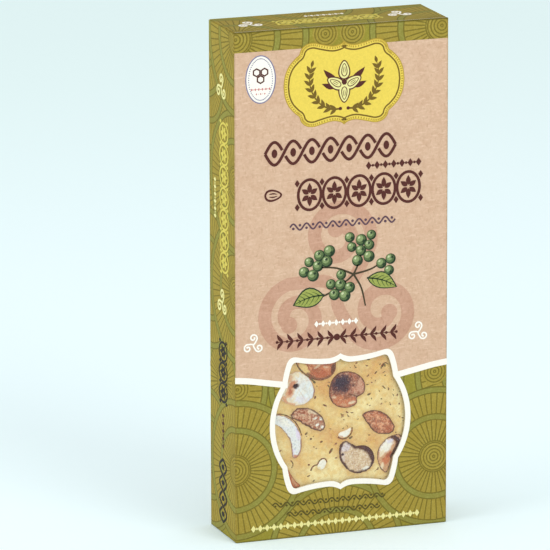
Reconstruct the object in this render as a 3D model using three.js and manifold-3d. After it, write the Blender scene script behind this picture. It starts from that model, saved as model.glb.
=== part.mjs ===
// A nougat bar in its folded carton, seen through a film window in the front panel.
// Millimetres, +Z up. The front panel faces -Y and the pack stands on its lower end, with the
// origin at the middle of the base.
import * as THREE from "three";
import { RoundedBoxGeometry } from "three/addons/geometries/RoundedBoxGeometry.js";
import { mergeVertices } from "three/addons/utils/BufferGeometryUtils.js";
import Module from "manifold-3d";

const wasm = await Module();
wasm.setup();

// Carton: one folded sheet of board.
const WIDTH = 82.5;
const DEPTH = 27.5;
const HEIGHT = 190;
const CARD = 0.5; // thickness of the board
const FOLD_RADIUS = 0.4; // outside of a crease
const SLIT = 0.3; // gap between two board edges, or between two layers
const TUCK_LENGTH = 14; // tab of an end flap, tucked behind the front panel
const TUCK_INSET = 4; // how much shorter the tab is than the panel, on each side
const DUST_FLAP = 26; // flap folded in from each side panel under an end flap
const GLUE_FLAP = 13; // strip glued inside the back panel
const SIDE_STEP = 0.3; // how far a side panel's cut edge lies back from the end flap

// Window: a bracket-shaped cut-out, alike in all four quarters.
const WINDOW_X = -0.5;
const WINDOW_Z = 42.4;
const WINDOW_HALF_WIDTH = 25.4;
const WINDOW_HALF_HEIGHT = 23.7;
const WINDOW_DIP = 1.5; // how far the top edge dips beside its middle point
const WINDOW_WAIST_X = 20.7; // where the bulging side meets the neck
const WINDOW_WAIST_Z = 15.2;
const CURVE_STEPS = 6;

// Film glued behind the window.
const FILM = 0.2;
const FILM_MARGIN = 5;
const FILM_PLAY = 0.05;

// Nougat bar, behind the tuck tabs.
const BAR_PLAY = 0.5; // to the carton, all round
const TAB_PLAY = 0.15; // to the tuck tabs
const BAR_EDGE = 1.5;
const NUT_PROUD = 0.2; // how far the cut nuts stand out of the nougat
const POCKET_PLAY = 0.3;
const NUT_SINK = 1; // widest section of a nut, behind its cut face
const NUT_SIDES = 28;
const NUT_RINGS = 12;

const FRONT = -DEPTH / 2;
const BACK = DEPTH / 2;
const TAB_FRONT = FRONT + CARD + SLIT;
const BAR_FRONT = TAB_FRONT + CARD + TAB_PLAY;
const BAR_BACK = BACK - 2 * CARD - BAR_PLAY;

// The nuts that show: place of the middle, size along and across, turn from +X towards +Z in degrees.
// taper narrows one end, wave makes the outline lobed, bend is the radius of a curved slice.
const NUTS = [
  { name: "almond_upper", x: -9.6, z: 64.2, along: 17.2, across: 11.6, deep: 5.5, turn: 8, taper: 0.22 },
  { name: "hazelnut_pale", x: -16.2, z: 56.2, along: 14.2, across: 13.4, deep: 6.5, turn: 60, wave: 0.05 },
  { name: "hazelnut_dark", x: 2.6, z: 54.0, along: 15.0, across: 12.8, deep: 6.5, turn: 55, wave: 0.08 },
  { name: "almond_left", x: -12.4, z: 43.6, along: 14.8, across: 8.0, deep: 4.5, turn: -32, taper: -0.12 },
  { name: "almond_right", x: 14.9, z: 40.5, along: 14.6, across: 8.2, deep: 4.5, turn: -30, taper: 0.1 },
  { name: "slice_left", x: -18.4, z: 39.6, along: 20.5, across: 5.0, deep: 3.0, turn: -55, bend: 15 },
  { name: "hazelnut_cut", x: 6.3, z: 28.1, along: 15.4, across: 11.6, deep: 6.5, turn: -34, wave: 0.06 },
  { name: "hazelnut_edge", x: 19.6, z: 28.2, along: 15.0, across: 9.6, deep: 6.0, turn: 66, wave: 0.05 },
  { name: "chip_middle", x: 2.1, z: 37.7, along: 4.6, across: 3.2, deep: 1.8, turn: 35, taper: 0.3 },
  { name: "chip_lower", x: -7.1, z: 26.4, along: 4.6, across: 3.4, deep: 1.8, turn: 65, taper: 0.2 },
  { name: "almond_corner", x: -19.6, z: 21.6, along: 10.5, across: 4.6, deep: 4.0, turn: -62, taper: 0.15 },
];

// A closed three.js geometry as a solid that can be cut and joined.
function solidOf(geometry) {
  const bare = geometry.index ? geometry.toNonIndexed() : geometry.clone();
  bare.deleteAttribute("normal");
  bare.deleteAttribute("uv");
  const merged = mergeVertices(bare, 1e-4);
  const vertProperties = merged.attributes.position.array;
  const triVerts = new Uint32Array(merged.index.array);
  return new wasm.Manifold(new wasm.Mesh({ numProp: 3, vertProperties, triVerts }));
}

// A box between two limits on each axis.
function block([x0, x1], [y0, y1], [z0, z1]) {
  const geometry = new THREE.BoxGeometry(x1 - x0, y1 - y0, z1 - z0);
  return solidOf(geometry.translate((x0 + x1) / 2, (y0 + y1) / 2, (z0 + z1) / 2));
}

// A block with rounded edges, standing on z = base.
function roundedBlock(width, depth, height, radius, middleY, base) {
  const geometry = new RoundedBoxGeometry(width, depth, height, 2, radius);
  return solidOf(geometry.translate(0, middleY, base + height / 2));
}

// A limit pair and its mirror image about zero, for what repeats on both sides of the pack.
function mirrored([low, high], side) {
  return side > 0 ? [low, high] : [-high, -low];
}

// The same for the two ends of the pack.
function atEnd([low, high], end) {
  return end > 0 ? [HEIGHT - high, HEIGHT - low] : [low, high];
}

// The quarter of the window's outline from its top point to the middle of its right side.
function windowQuarter() {
  const dipZ = WINDOW_HALF_HEIGHT - WINDOW_DIP;
  const neckX = WINDOW_WAIST_X - 1.4;
  const neckZ = WINDOW_HALF_HEIGHT - 2.3;
  const cornerX = neckX - 2.7;
  const bulge =
    (WINDOW_HALF_WIDTH ** 2 - WINDOW_WAIST_X ** 2 - WINDOW_WAIST_Z ** 2) /
    (2 * (WINDOW_HALF_WIDTH - WINDOW_WAIST_X)); // middle of the side's arc
  const path = new THREE.Path()
    .moveTo(0, WINDOW_HALF_HEIGHT)
    .quadraticCurveTo(1.6, dipZ + 0.1, 4.2, dipZ)
    .quadraticCurveTo(10.5, dipZ, cornerX, WINDOW_HALF_HEIGHT)
    .quadraticCurveTo(cornerX + 2, WINDOW_HALF_HEIGHT + 0.5, neckX, neckZ)
    .quadraticCurveTo(WINDOW_WAIST_X - 0.5, neckZ - 2.8, WINDOW_WAIST_X, WINDOW_WAIST_Z)
    .absarc(
      bulge,
      0,
      WINDOW_HALF_WIDTH - bulge,
      Math.atan2(WINDOW_WAIST_Z, WINDOW_WAIST_X - bulge),
      0,
      true,
    );
  return path.getPoints(CURVE_STEPS);
}

// The whole outline, mirrored from the quarter, clockwise from the top point.
function windowOutline() {
  const right = windowQuarter();
  const lower = right.map((p) => new THREE.Vector2(p.x, -p.y)).reverse();
  const rightHalf = [...right, ...lower.slice(1)];
  const leftHalf = rightHalf.map((p) => new THREE.Vector2(-p.x, p.y)).reverse();
  return [...rightHalf, ...leftHalf.slice(1, -1)];
}

// The cut through the front panel.
function windowCutter() {
  const shape = new THREE.Shape(windowOutline());
  const geometry = new THREE.ExtrudeGeometry(shape, { depth: 4 * CARD, bevelEnabled: false });
  geometry.rotateX(Math.PI / 2).translate(WINDOW_X, FRONT + 2 * CARD, WINDOW_Z);
  return solidOf(geometry);
}

// An end flap closes each end: it hinges on the back panel and tucks behind the front one.
function closeEnd(carton, end) {
  const innerX = WIDTH / 2 - CARD;
  let closed = carton;
  for (const side of [-1, 1]) {
    const flapX = mirrored([innerX - DUST_FLAP, WIDTH / 2 - CARD / 2], side);
    const flapY = [TAB_FRONT + CARD + SLIT, BACK - CARD - SLIT];
    closed = closed.add(block(flapX, flapY, atEnd([CARD, 2 * CARD], end)));
  }
  const tabX = [-WIDTH / 2 + TUCK_INSET, WIDTH / 2 - TUCK_INSET];
  const tabY = [TAB_FRONT, TAB_FRONT + CARD];
  closed = closed.add(block(tabX, tabY, atEnd([CARD / 2, CARD + TUCK_LENGTH], end)));
  const slitY = [FRONT + CARD, TAB_FRONT];
  closed = closed.subtract(block([-innerX, innerX], slitY, atEnd([-CARD, CARD], end)));
  for (const side of [-1, 1]) {
    const edgeX = mirrored([innerX, WIDTH], side);
    const edgeY = [FRONT + CARD, BACK - CARD];
    closed = closed.subtract(block(edgeX, edgeY, atEnd([-CARD, SIDE_STEP], end)));
  }
  return closed;
}

// The back panel's free edge is glued to a strip folded in from the right side panel.
function glueSeam(carton) {
  const innerX = WIDTH / 2 - CARD;
  const stripX = [innerX - GLUE_FLAP, innerX + CARD / 2];
  const stripY = [BACK - 2 * CARD, BACK - CARD / 2];
  const strip = block(stripX, stripY, [3 * CARD, HEIGHT - 3 * CARD]);
  const seam = block([innerX - SLIT, innerX], [BACK - CARD, DEPTH], [5 * CARD, HEIGHT - 5 * CARD]);
  return carton.add(strip).subtract(seam);
}

function cartonSolid() {
  const outside = roundedBlock(WIDTH, DEPTH, HEIGHT, FOLD_RADIUS, 0, 0);
  const inside = block(
    [-WIDTH / 2 + CARD, WIDTH / 2 - CARD],
    [FRONT + CARD, BACK - CARD],
    [CARD, HEIGHT - CARD],
  );
  let carton = outside.subtract(inside);
  for (const end of [-1, 1]) carton = closeEnd(carton, end);
  return glueSeam(carton).subtract(windowCutter());
}

function filmSolid() {
  const reachX = WINDOW_HALF_WIDTH + FILM_MARGIN;
  const reachZ = WINDOW_HALF_HEIGHT + FILM_MARGIN;
  const front = FRONT + CARD + FILM_PLAY;
  return block(
    [WINDOW_X - reachX, WINDOW_X + reachX],
    [front, front + FILM],
    [WINDOW_Z - reachZ, WINDOW_Z + reachZ],
  );
}

// A nut grown by play on every side, still whole. Its poles are along Y, so its widest section
// is parallel to the front panel.
function wholeNut(nut, play) {
  const geometry = new THREE.SphereGeometry(1, NUT_SIDES, NUT_RINGS);
  const position = geometry.attributes.position;
  const { taper = 0, wave = 0, bend = 0 } = nut;
  for (let i = 0; i < position.count; i++) {
    const u = position.getX(i);
    const v = position.getZ(i);
    const lobes = 1 + wave * Math.cos(3 * Math.atan2(v, u));
    let x = u * lobes * (nut.along / 2 + play);
    let z = v * lobes * (1 - taper * u) * (nut.across / 2 + play);
    if (bend) {
      const angle = x / bend;
      x = (bend + z) * Math.sin(angle);
      z = (bend + z) * Math.cos(angle) - bend;
    }
    position.setXYZ(i, x, position.getY(i) * (nut.deep + play), z);
  }
  geometry.rotateY(-THREE.MathUtils.degToRad(nut.turn));
  geometry.translate(nut.x, BAR_FRONT - NUT_PROUD + NUT_SINK, nut.z);
  return solidOf(geometry);
}

// The knife's cut: everything in front of a plane parallel to the front panel.
function aheadOf(y) {
  return block([-WIDTH, WIDTH], [-DEPTH, y], [0, HEIGHT]);
}

function nutSolid(nut, earlier) {
  let cut = wholeNut(nut, 0).subtract(aheadOf(BAR_FRONT - NUT_PROUD));
  for (const other of earlier) cut = cut.subtract(wholeNut(other, POCKET_PLAY));
  return cut;
}

function nougatSolid() {
  const base = 2 * CARD + BAR_PLAY;
  const height = HEIGHT - 2 * base;
  const width = WIDTH - 2 * (CARD + BAR_PLAY);
  const middleY = (BAR_FRONT + BAR_BACK) / 2;
  let bar = roundedBlock(width, BAR_BACK - BAR_FRONT, height, BAR_EDGE, middleY, base);
  for (const nut of NUTS) bar = bar.subtract(wholeNut(nut, POCKET_PLAY));
  return bar;
}

const MATERIALS = {
  carton: { color: 0xa79a48, roughness: 0.75, metalness: 0 },
  film: { color: 0xf4f6f4, roughness: 0.08, metalness: 0, transparent: true, opacity: 0.25 },
  nougat: { color: 0xe2c68c, roughness: 0.5, metalness: 0 },
  almond: { color: 0xa5653f, roughness: 0.65, metalness: 0 },
  hazelnut: { color: 0xd9bd93, roughness: 0.6, metalness: 0 },
  pale: { color: 0xe9e0d2, roughness: 0.55, metalness: 0 },
  dark: { color: 0x6f4030, roughness: 0.6, metalness: 0 },
};

const NUT_MATERIAL = {
  hazelnut_pale: "pale",
  hazelnut_dark: "dark",
  slice_left: "pale",
  chip_middle: "pale",
  chip_lower: "pale",
};

function meshOf(name, solid, look) {
  const { vertProperties, triVerts } = solid.getMesh();
  const geometry = new THREE.BufferGeometry()
    .setAttribute("position", new THREE.BufferAttribute(vertProperties, 3))
    .setIndex(new THREE.BufferAttribute(triVerts, 1));
  const mesh = new THREE.Mesh(geometry, new THREE.MeshStandardMaterial(MATERIALS[look]));
  mesh.name = name;
  return mesh;
}

const pack = new THREE.Group();
pack.add(meshOf("carton", cartonSolid(), "carton"));
pack.add(meshOf("window_film", filmSolid(), "film"));
pack.add(meshOf("nougat", nougatSolid(), "nougat"));
NUTS.forEach((nut, i) => {
  const look = NUT_MATERIAL[nut.name] ?? (nut.name.startsWith("almond") ? "almond" : "hazelnut");
  pack.add(meshOf(nut.name, nutSolid(nut, NUTS.slice(0, i)), look));
});

export default pack;
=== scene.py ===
"""Looks of the boxed nougat bar: a printed kraft carton, a film window, and the nougat and nuts behind it.

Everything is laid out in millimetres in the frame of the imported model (+X right across the front panel,
+Y from front to back, +Z up, origin at the middle of the base) and turned into metres when a mesh is made.
On each panel, u runs to the right and v up in the print. Turns are in degrees.
"""

import random
from dataclasses import dataclass
from math import atan2, cos, hypot, pi, radians, sin

import bpy
import numpy as np
from mathutils import Matrix, Vector, noise
from mathutils.geometry import delaunay_2d_cdt


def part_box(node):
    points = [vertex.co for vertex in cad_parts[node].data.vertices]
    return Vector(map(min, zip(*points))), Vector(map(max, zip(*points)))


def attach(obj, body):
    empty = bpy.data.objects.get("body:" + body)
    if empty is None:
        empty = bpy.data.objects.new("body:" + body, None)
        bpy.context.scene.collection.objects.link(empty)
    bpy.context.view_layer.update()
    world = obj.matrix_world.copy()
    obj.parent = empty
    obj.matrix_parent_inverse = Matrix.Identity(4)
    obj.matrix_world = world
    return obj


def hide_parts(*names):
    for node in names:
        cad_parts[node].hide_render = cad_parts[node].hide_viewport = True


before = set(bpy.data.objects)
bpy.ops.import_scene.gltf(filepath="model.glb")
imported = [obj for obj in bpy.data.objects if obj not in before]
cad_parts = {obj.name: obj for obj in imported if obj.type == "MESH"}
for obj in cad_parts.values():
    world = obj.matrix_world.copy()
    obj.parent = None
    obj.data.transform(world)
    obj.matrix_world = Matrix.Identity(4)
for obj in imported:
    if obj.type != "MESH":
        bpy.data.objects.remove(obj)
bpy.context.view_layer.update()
MM = 0.001  # metres


def box_mm(node_name):
    """A CAD node's lowest and highest corner in millimetres."""
    low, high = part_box(node_name)
    return Vector(low) / MM, Vector(high) / MM


# ---------------------------------------------------------------- sizes

CARTON_LOW, CARTON_HIGH = box_mm("carton")
WIDTH, DEPTH, HEIGHT = CARTON_HIGH - CARTON_LOW
FRONT, BACK = CARTON_LOW.y, CARTON_HIGH.y
HALF = WIDTH / 2
CARD = 0.5  # thickness of the board
CREASE = 0.15  # how far a rounded crease lies inside the flat faces

INK = 0.03  # how far one layer of print stands out
INK_ROOT = 0.02  # how far it reaches into the board

WINDOW_U, WINDOW_V = -0.5, 42.4
WINDOW_HALF_WIDTH, WINDOW_HALF_HEIGHT = 25.4, 23.7
WINDOW_DIP = 1.5
WINDOW_WAIST_U, WINDOW_WAIST_V = 20.7, 15.2
WINDOW_BORDER = 2.05

BAND_V = 182.5  # lower edge of the green band at the top of the front panel
SWASH_WIDTH = 2.3
SWASH_V = 61.4  # white line at the side edges of the front panel
SWASH_DROP = 3.4  # how much lower it meets the window's border
SWASH_MEETS_U = 21.0


# ---------------------------------------------------------------- colours and shader building


def srgb(red, green, blue):
    """A linear colour from 0-255 display values."""
    return tuple(c / 12.92 if c <= 0.04045 else ((c + 0.055) / 1.055) ** 2.4
                 for c in (red / 255, green / 255, blue / 255))


def scaled(colour, *factors):
    """A colour made darker or paler, by one factor or one for each channel."""
    return tuple(min(1, c * f) for c, f in zip(colour, factors * (3 // len(factors))))


KRAFT = srgb(211, 176, 149)
KHAKI = srgb(164, 143, 62)
LIME = srgb(148, 138, 54)
PATTERN_LINE = srgb(98, 88, 34)
PATTERN_BAND = srgb(142, 137, 66)
BOARD_TOOTH = 3.2  # scale of the board's fine relief


def put(socket, value):
    """Sets a socket, or links it to what other nodes make."""
    if isinstance(value, Number):
        value = value.socket
    if isinstance(value, bpy.types.NodeSocket):
        socket.id_data.links.new(value, socket)
    elif isinstance(value, tuple) and socket.type == "RGBA":
        socket.default_value = (*value, 1)
    else:
        socket.default_value = value


def node(tree, kind, inputs=None, **settings):
    """A new node, with values or links for its inputs by name or number."""
    made = tree.nodes.new(kind)
    for key, value in settings.items():
        setattr(made, key, value)
    for key, value in (inputs or {}).items():
        put(made.inputs[key], value)
    return made


def operator(operation):
    """A method that joins two numbers by one operation of the Math node."""
    return lambda first, second: first.run(operation, second)


class Number:
    """A number that nodes work out for each point of a surface."""

    def __init__(self, socket):
        self.socket = socket

    def run(self, operation, *others):
        inputs = dict(enumerate((self, *others)))
        return Number(node(self.socket.id_data, "ShaderNodeMath", inputs, operation=operation).outputs[0])

    __add__, __sub__ = operator("ADD"), operator("SUBTRACT")
    __mul__, __truediv__ = operator("MULTIPLY"), operator("DIVIDE")
    __lt__, __gt__ = operator("LESS_THAN"), operator("GREATER_THAN")

    def near(self, middle, half):
        """1 within half of the middle, else 0."""
        return (self - middle).run("ABSOLUTE") < half

    def step(self, low, high):
        """0 at low and 1 at high, smooth between; high may be the smaller one."""
        return Number(node(self.socket.id_data, "ShaderNodeMapRange", {
            "Value": self, "From Min": min(low, high), "From Max": max(low, high),
            "To Min": float(low > high), "To Max": float(low < high),
        }, interpolation_type="SMOOTHSTEP").outputs[0])


class Shader:
    """A material built from nodes."""

    def __init__(self, name, roughness=0.6, gloss=0.15):
        self.material = bpy.data.materials.new(name)
        self.material.use_nodes = True
        self.surface = self.material.node_tree.nodes["Principled BSDF"]
        self.surface.inputs["Roughness"].default_value = roughness
        self.surface.inputs["Specular IOR Level"].default_value = gloss

    def node(self, kind, inputs=None, **settings):
        return node(self.material.node_tree, kind, inputs, **settings)

    def mix(self, factor, first, second, blend="MIX"):
        inputs = {0: factor, 6: first, 7: second}
        return self.node("ShaderNodeMix", inputs, data_type="RGBA", blend_type=blend).outputs[2]

    def layers(self, colour, *over):
        """A colour with others laid over it in turn, each by its own mask."""
        for mask, new in over:
            colour = self.mix(mask, colour, new)
        return colour

    def place(self, stretch=(1, 1, 1), turn=(0, 0, 0)):
        """The point's place in millimetres, scaled along each axis."""
        spot = self.node("ShaderNodeTexCoord").outputs["Object"]
        scale = tuple(s / MM for s in stretch)
        return self.node("ShaderNodeMapping", {"Vector": spot, "Scale": scale, "Rotation": turn}).outputs[0]

    def parts(self, vector):
        """The three numbers of a vector."""
        return [Number(s) for s in self.node("ShaderNodeSeparateXYZ", {"Vector": vector}).outputs]

    def noise(self, scale, detail=2.0, where=None, roughness=0.5):
        return Number(self.node("ShaderNodeTexNoise", {
            "Vector": where or self.place(), "Scale": scale, "Detail": detail, "Roughness": roughness,
        }).outputs["Fac"])

    def finish(self, colour, tooth, depth_mm, detail=3.0):
        """Sets the colour, and a fine relief that is a little smoother on its heights."""
        put(self.surface.inputs["Base Color"], colour)
        height = self.noise(tooth, detail, roughness=0.7)
        bump = self.node("ShaderNodeBump", {"Height": height, "Distance": depth_mm * MM, "Strength": 0.7})
        put(self.surface.inputs["Normal"], bump.outputs[0])
        rough = self.surface.inputs["Roughness"]
        put(rough, height * -0.3 + (rough.default_value + 0.15))
        return self.material


def kraft_colour(shader, base):
    """Uncoated kraft paper: soft mottling, with short fibres a little darker or paler."""
    cloud = shader.noise(0.25, 4.0, roughness=0.6).step(0.3, 0.75)
    grain = shader.noise(0.9, 5.0, roughness=0.75)
    across = shader.noise(0.6, 3.0, shader.place((0.6, 2.2, 2.4), (0, 0.35, 0)))
    upright = shader.noise(0.6, 3.0, shader.place((2.2, 2.2, 0.7), (0, 0.25, 0)))
    dark, pale = scaled(base, 0.74, 0.67, 0.6), scaled(base, 1.16, 1.2, 1.26)
    return shader.layers(
        base, (cloud, scaled(base, 0.92, 0.88, 0.85)),
        (grain.step(0.5, 0.72) * 0.55, dark), (grain.step(0.48, 0.28) * 0.55, pale),
        (upright.step(0.56, 0.72) * 0.5, dark), (across.step(0.55, 0.7) * 0.55, pale))


def kraft(name, base):
    shader = Shader(name, 0.65)
    return shader.finish(kraft_colour(shader, base), BOARD_TOOTH, 0.04)


def ink(name, colour, spread):
    """Ink on uncoated board, which the paper's grain shows through a little."""
    shader = Shader(name)
    grain = shader.noise(1.4, 4.0, roughness=0.7).step(0.3, 0.7)
    colour = shader.mix(grain, scaled(colour, 1 - spread), scaled(colour, 1 + spread))
    return shader.finish(colour, BOARD_TOOTH, 0.03)


# The printed sunbursts: rings round a dot, two zones of rays with a solid band between them, and
# a band outside. Radii are in millimetres, counts go once round.
RINGS_END, RING_STEP, RING_SHIFT = 5.9, 1.2, 0.125
BAND_FROM, BAND_TO = 14.0, 16.2
RIM_FROM, SUNBURST_END = 24.2, 26.4
INNER_RAYS, OUTER_RAYS = 40, 60
LINE_HALF = 0.24


def sunburst_group():
    """A node group that lays one sunburst over what is there: Line, Band and Inside, in and out."""
    tree = bpy.data.node_groups.new("sunburst", "ShaderNodeTree")
    layers = ("Line", "Band", "Inside")
    for name in ("Point", "Centre", "Size", "Reach", *layers):
        kind = "NodeSocketVector" if name in ("Point", "Centre") else "NodeSocketFloat"
        tree.interface.new_socket(name, in_out="INPUT", socket_type=kind)
    for name in layers:
        tree.interface.new_socket(name, in_out="OUTPUT", socket_type="NodeSocketFloat")
    given = node(tree, "NodeGroupInput").outputs
    result = node(tree, "NodeGroupOutput").inputs
    ends = {0: given["Point"], 1: given["Centre"]}
    offset = node(tree, "ShaderNodeVectorMath", ends, operation="SUBTRACT").outputs[0]
    u, v, _ = map(Number, node(tree, "ShaderNodeSeparateXYZ", {0: offset}).outputs)

    radius = (u * u + v * v).run("SQRT") / given["Size"]
    rays = (radius > (BAND_FROM + BAND_TO) / 2) * (OUTER_RAYS - INNER_RAYS) + INNER_RAYS
    turns = v.run("ARCTAN2", u) * rays / (2 * pi)
    from_ray = (turns.run("FRACT") - 0.5).run("ABSOLUTE") * radius * 2 * pi / rays
    from_ring = ((radius / RING_STEP + RING_SHIFT).run("FRACT") - 0.5).run("ABSOLUTE") * RING_STEP
    band = radius.near((BAND_FROM + BAND_TO) / 2, (BAND_TO - BAND_FROM) / 2)
    band = band.run("MAXIMUM", radius > RIM_FROM)
    line = (from_ray < LINE_HALF) * (radius > RINGS_END)
    line = line.run("MAXIMUM", (from_ring < LINE_HALF) * (radius < RINGS_END))
    line = line * (band < 0.5)
    for circle in (RINGS_END, BAND_FROM, BAND_TO, RIM_FROM, SUNBURST_END):
        line = line.run("MAXIMUM", radius.near(circle, LINE_HALF))
    covers = radius < given["Reach"]
    for name, new in zip(layers, (line, band, covers)):
        put(result[name], (new - given[name]) * covers + given[name])
    return tree


SUNBURST = sunburst_group()
WHOLE = SUNBURST_END + LINE_HALF  # reach of a whole sunburst
SMALL_RINGS = 4.9  # reach of the small rings in the gaps


def sunbursts(places, reach=WHOLE, size=1.0):
    return [(u, v, size, reach) for u, v in places]


def on_back(*places):
    """Places on the back panel as they lie on the unfolded carton."""
    return [(-HALF - DEPTH - u, v) for u, v in places]


# Sunbursts on the unfolded carton; a later one lies over an earlier one. The front panel spans
# u -41.25 to 41.25, the left side runs on to -68.75 and the back to -151.25.
SUNBURSTS = [
    *sunbursts([(-2, -6), (-2, 220), (-2, 58)]),
    *sunbursts((side * (HALF + DEPTH / 2), v) for side in (-1, 1) for v in (58, 128)),
    *sunbursts((side * (HALF + DEPTH), v) for side in (-1, 1) for v in (24, 94, 168)),
    *sunbursts((side * HALF, v) for side in (-1, 1) for v in (94, 135)),
    *sunbursts(on_back((HALF, 42), (0, 26), (WIDTH, 26), (WIDTH, 187), (HALF, -4), (6, 187))),
    *sunbursts([*on_back((HALF - 5.2, 187.3), (HALF + 5.2, 187.3), (6, 57.5), (WIDTH - 6, 57.5)),
                (-6.3, 187.3), (4.1, 187.3), (-40.4, 58), (36.4, 58)], SMALL_RINGS),
    *sunbursts([(-40.6, 187.4), (38.7, 187.2)], size=1.06),
    *sunbursts([(-41.3, 27.5), (36.2, 25.7)]),
]


def touches(u, v, reach, area):
    """True if a circle reaches into an area (u0, u1, v0, v1) of the unfolded carton."""
    u0, u1, v0, v1 = area
    return hypot(u - min(max(u, u0), u1), v - min(max(v, v0), v1)) < reach


def board_print(name, area, kraft_middle):
    """The outside of a panel: sunbursts, with kraft between a low curve and the top band, and painted shade
    along the upright creases, in the slit at the top front edge and along the foot.
    """
    shader = Shader(name, 0.65, 0.06)
    point = shader.node("ShaderNodeUVMap", uv_map="print").outputs[0]
    layers = {"Line": 0.0, "Band": 0.0, "Inside": 0.0}
    for u, v, size, reach in SUNBURSTS:
        if touches(u, v, size * reach, area):
            given = {"Point": point, "Centre": (u, v, 0), "Size": size, "Reach": reach, **layers}
            made = shader.node("ShaderNodeGroup", given, node_tree=SUNBURST)
            layers = {key: Number(made.outputs[key]) for key in layers}
    grain = shader.noise(1.4, 4.0, roughness=0.7)
    cloud = shader.noise(0.12, 3.0)
    colour = shader.layers(
        LIME, (layers["Inside"], KHAKI), (layers["Band"], PATTERN_BAND),
        (layers["Line"] * 0.75, PATTERN_LINE), (cloud.step(0.35, 0.7) * 0.2, srgb(138, 112, 36)),
        (grain.step(0.35, 0.75) * 0.25, srgb(108, 96, 36)), (grain.step(0.5, 0.3) * 0.2, srgb(188, 176, 100)))
    if kraft_middle is not None:
        u, v, _ = shader.parts(point)
        slope = SWASH_DROP / (HALF - SWASH_MEETS_U)
        low = (u - kraft_middle).run("ABSOLUTE") * slope + (SWASH_V - slope * HALF)
        low = low.run("MAXIMUM", SWASH_V - SWASH_DROP)
        colour = shader.mix((v > low) * (v < BAND_V), colour, kraft_colour(shader, KRAFT))
    # Painted shade: darker in patches along the upright creases, darker in the slit at the top front edge,
    # and darker along the foot of each panel.
    x, y, z = shader.parts(shader.place())
    side = (x.run("ABSOLUTE") * -1) + HALF
    face = (y.run("ABSOLUTE") * -1) - FRONT
    crease_shade = side.run("MAXIMUM", face).step(0.7, 0.15) * shader.noise(0.8, 3.0).step(0.2, 0.6)
    slit_shade = z.step(HEIGHT - 0.8, HEIGHT - 0.3) * y.step(FRONT + 0.9, FRONT + 0.5)
    foot = z.step(0.9, 0.3)
    return shader.finish(shader.layers(
        colour, (crease_shade * 0.5, srgb(122, 100, 44)), (slit_shade * 0.7, srgb(84, 76, 30)),
        (foot * 0.6, srgb(98, 92, 40))), BOARD_TOOTH, 0.04)


# ---------------------------------------------------------------- meshes


def link(name, mesh, slot, *replaced):
    """An object that rides on the pack and stands for the CAD nodes named."""
    made = bpy.data.objects.new(name, mesh)
    bpy.context.scene.collection.objects.link(made)
    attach(made, "root")
    if replaced:
        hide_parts(*replaced)
    return made


def piece(name, vertices_mm, faces, materials, slot, *replaced, slots=None, smooth=False):
    """A mesh piece from points in millimetres."""
    mesh = bpy.data.meshes.new(name)
    mesh.from_pydata([tuple(c * MM for c in v) for v in vertices_mm], [], faces)
    for material in materials:
        mesh.materials.append(material)
    if slots is not None:
        mesh.polygons.foreach_set("material_index", slots)
    mesh.polygons.foreach_set("use_smooth", [smooth] * len(faces))
    mesh.update()
    return link(name, mesh, slot, *replaced)


def open_edges(faces):
    """Edges that only one face has, in that face's direction."""
    edges = {(f[i], f[(i + 1) % len(f)]) for f in faces for i in range(len(f))}
    return sorted(e for e in edges if e[::-1] not in edges)


def closed(faces, count):
    """The faces, the same ones turned over on a second layer of points, and the walls between."""
    walls = [(a, a + count, b + count, b) for a, b in open_edges(faces)]
    return [*faces, *(tuple(i + count for i in reversed(f)) for f in faces), *walls]


def used(vertices, faces):
    """Vertices and faces without the points that no face has."""
    kept = sorted({i for f in faces for i in f})
    number = {old: new for new, old in enumerate(kept)}
    return [vertices[i] for i in kept], [tuple(number[i] for i in f) for f in faces]


def upward(cells, flat):
    """Triangles turned to run counter-clockwise, without slivers."""
    turns = [(flat[b] - flat[a]).cross(flat[c] - flat[a]) for a, b, c in cells]
    return [tuple(cell) if turn > 0 else tuple(reversed(cell))
            for cell, turn in zip(cells, turns) if abs(turn) > 1e-7]


def grid(columns, rows):
    """Points row by row from the lower left, and the squares between them."""
    wide = len(columns)
    corners = [k + i for k in range(0, wide * (len(rows) - 1), wide) for i in range(wide - 1)]
    return (np.array([(x, z) for z in rows for x in columns]),
            [(a, a + 1, a + wide + 1, a + wide) for a in corners])


def inset(points, low, high):
    """How far each (x, z) lies inside a box."""
    x, z = points.T
    return np.minimum.reduce([x - low.x, high.x - x, z - low.z, high.z - z])


def curve(points, steps=6, loop=False):
    """A smooth line through the points (Catmull-Rom), with steps per span."""
    pts = [Vector(p[:2]) for p in points]
    count = len(pts)
    line = []
    for i in range(count if loop else count - 1):
        b, c = pts[i], pts[(i + 1) % count]
        a = pts[i - 1] if loop or i else 2 * b - c
        d = pts[(i + 2) % count] if loop or i + 2 < count else 2 * c - b
        line += [0.5 * (2 * b + (c - a) * t + (2 * a - 5 * b + 4 * c - d) * t * t
                        + (3 * b - a - 3 * c + d) * t ** 3) for t in np.arange(steps) / steps]
    return line if loop else [*line, pts[-1]]


def around(count, start=0.0):
    """Equal steps once round."""
    return np.arange(count) * 360 / count + start


def heading(turn):
    return Vector((cos(radians(turn)), sin(radians(turn))))


def round_points(centre, radius, angles, squeeze=1.0, turn=0.0):
    """Points on a circle or an ellipse. The radius and the squeeze may be lists."""
    angles = np.radians(angles)
    x, y = radius * np.cos(angles), radius * squeeze * np.sin(angles)
    c, s = cos(radians(turn)), sin(radians(turn))
    return [Vector((centre[0] + a * c - b * s, centre[1] + a * s + b * c)) for a, b in zip(x, y)]


def spiral(centre, outer, inner, start, turns, steps):
    """Points from the outer radius in to the inner one."""
    share = np.linspace(0, 1, steps + 1)
    return round_points(centre, outer + (inner - outer) * share, start + 360 * turns * share)


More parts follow.
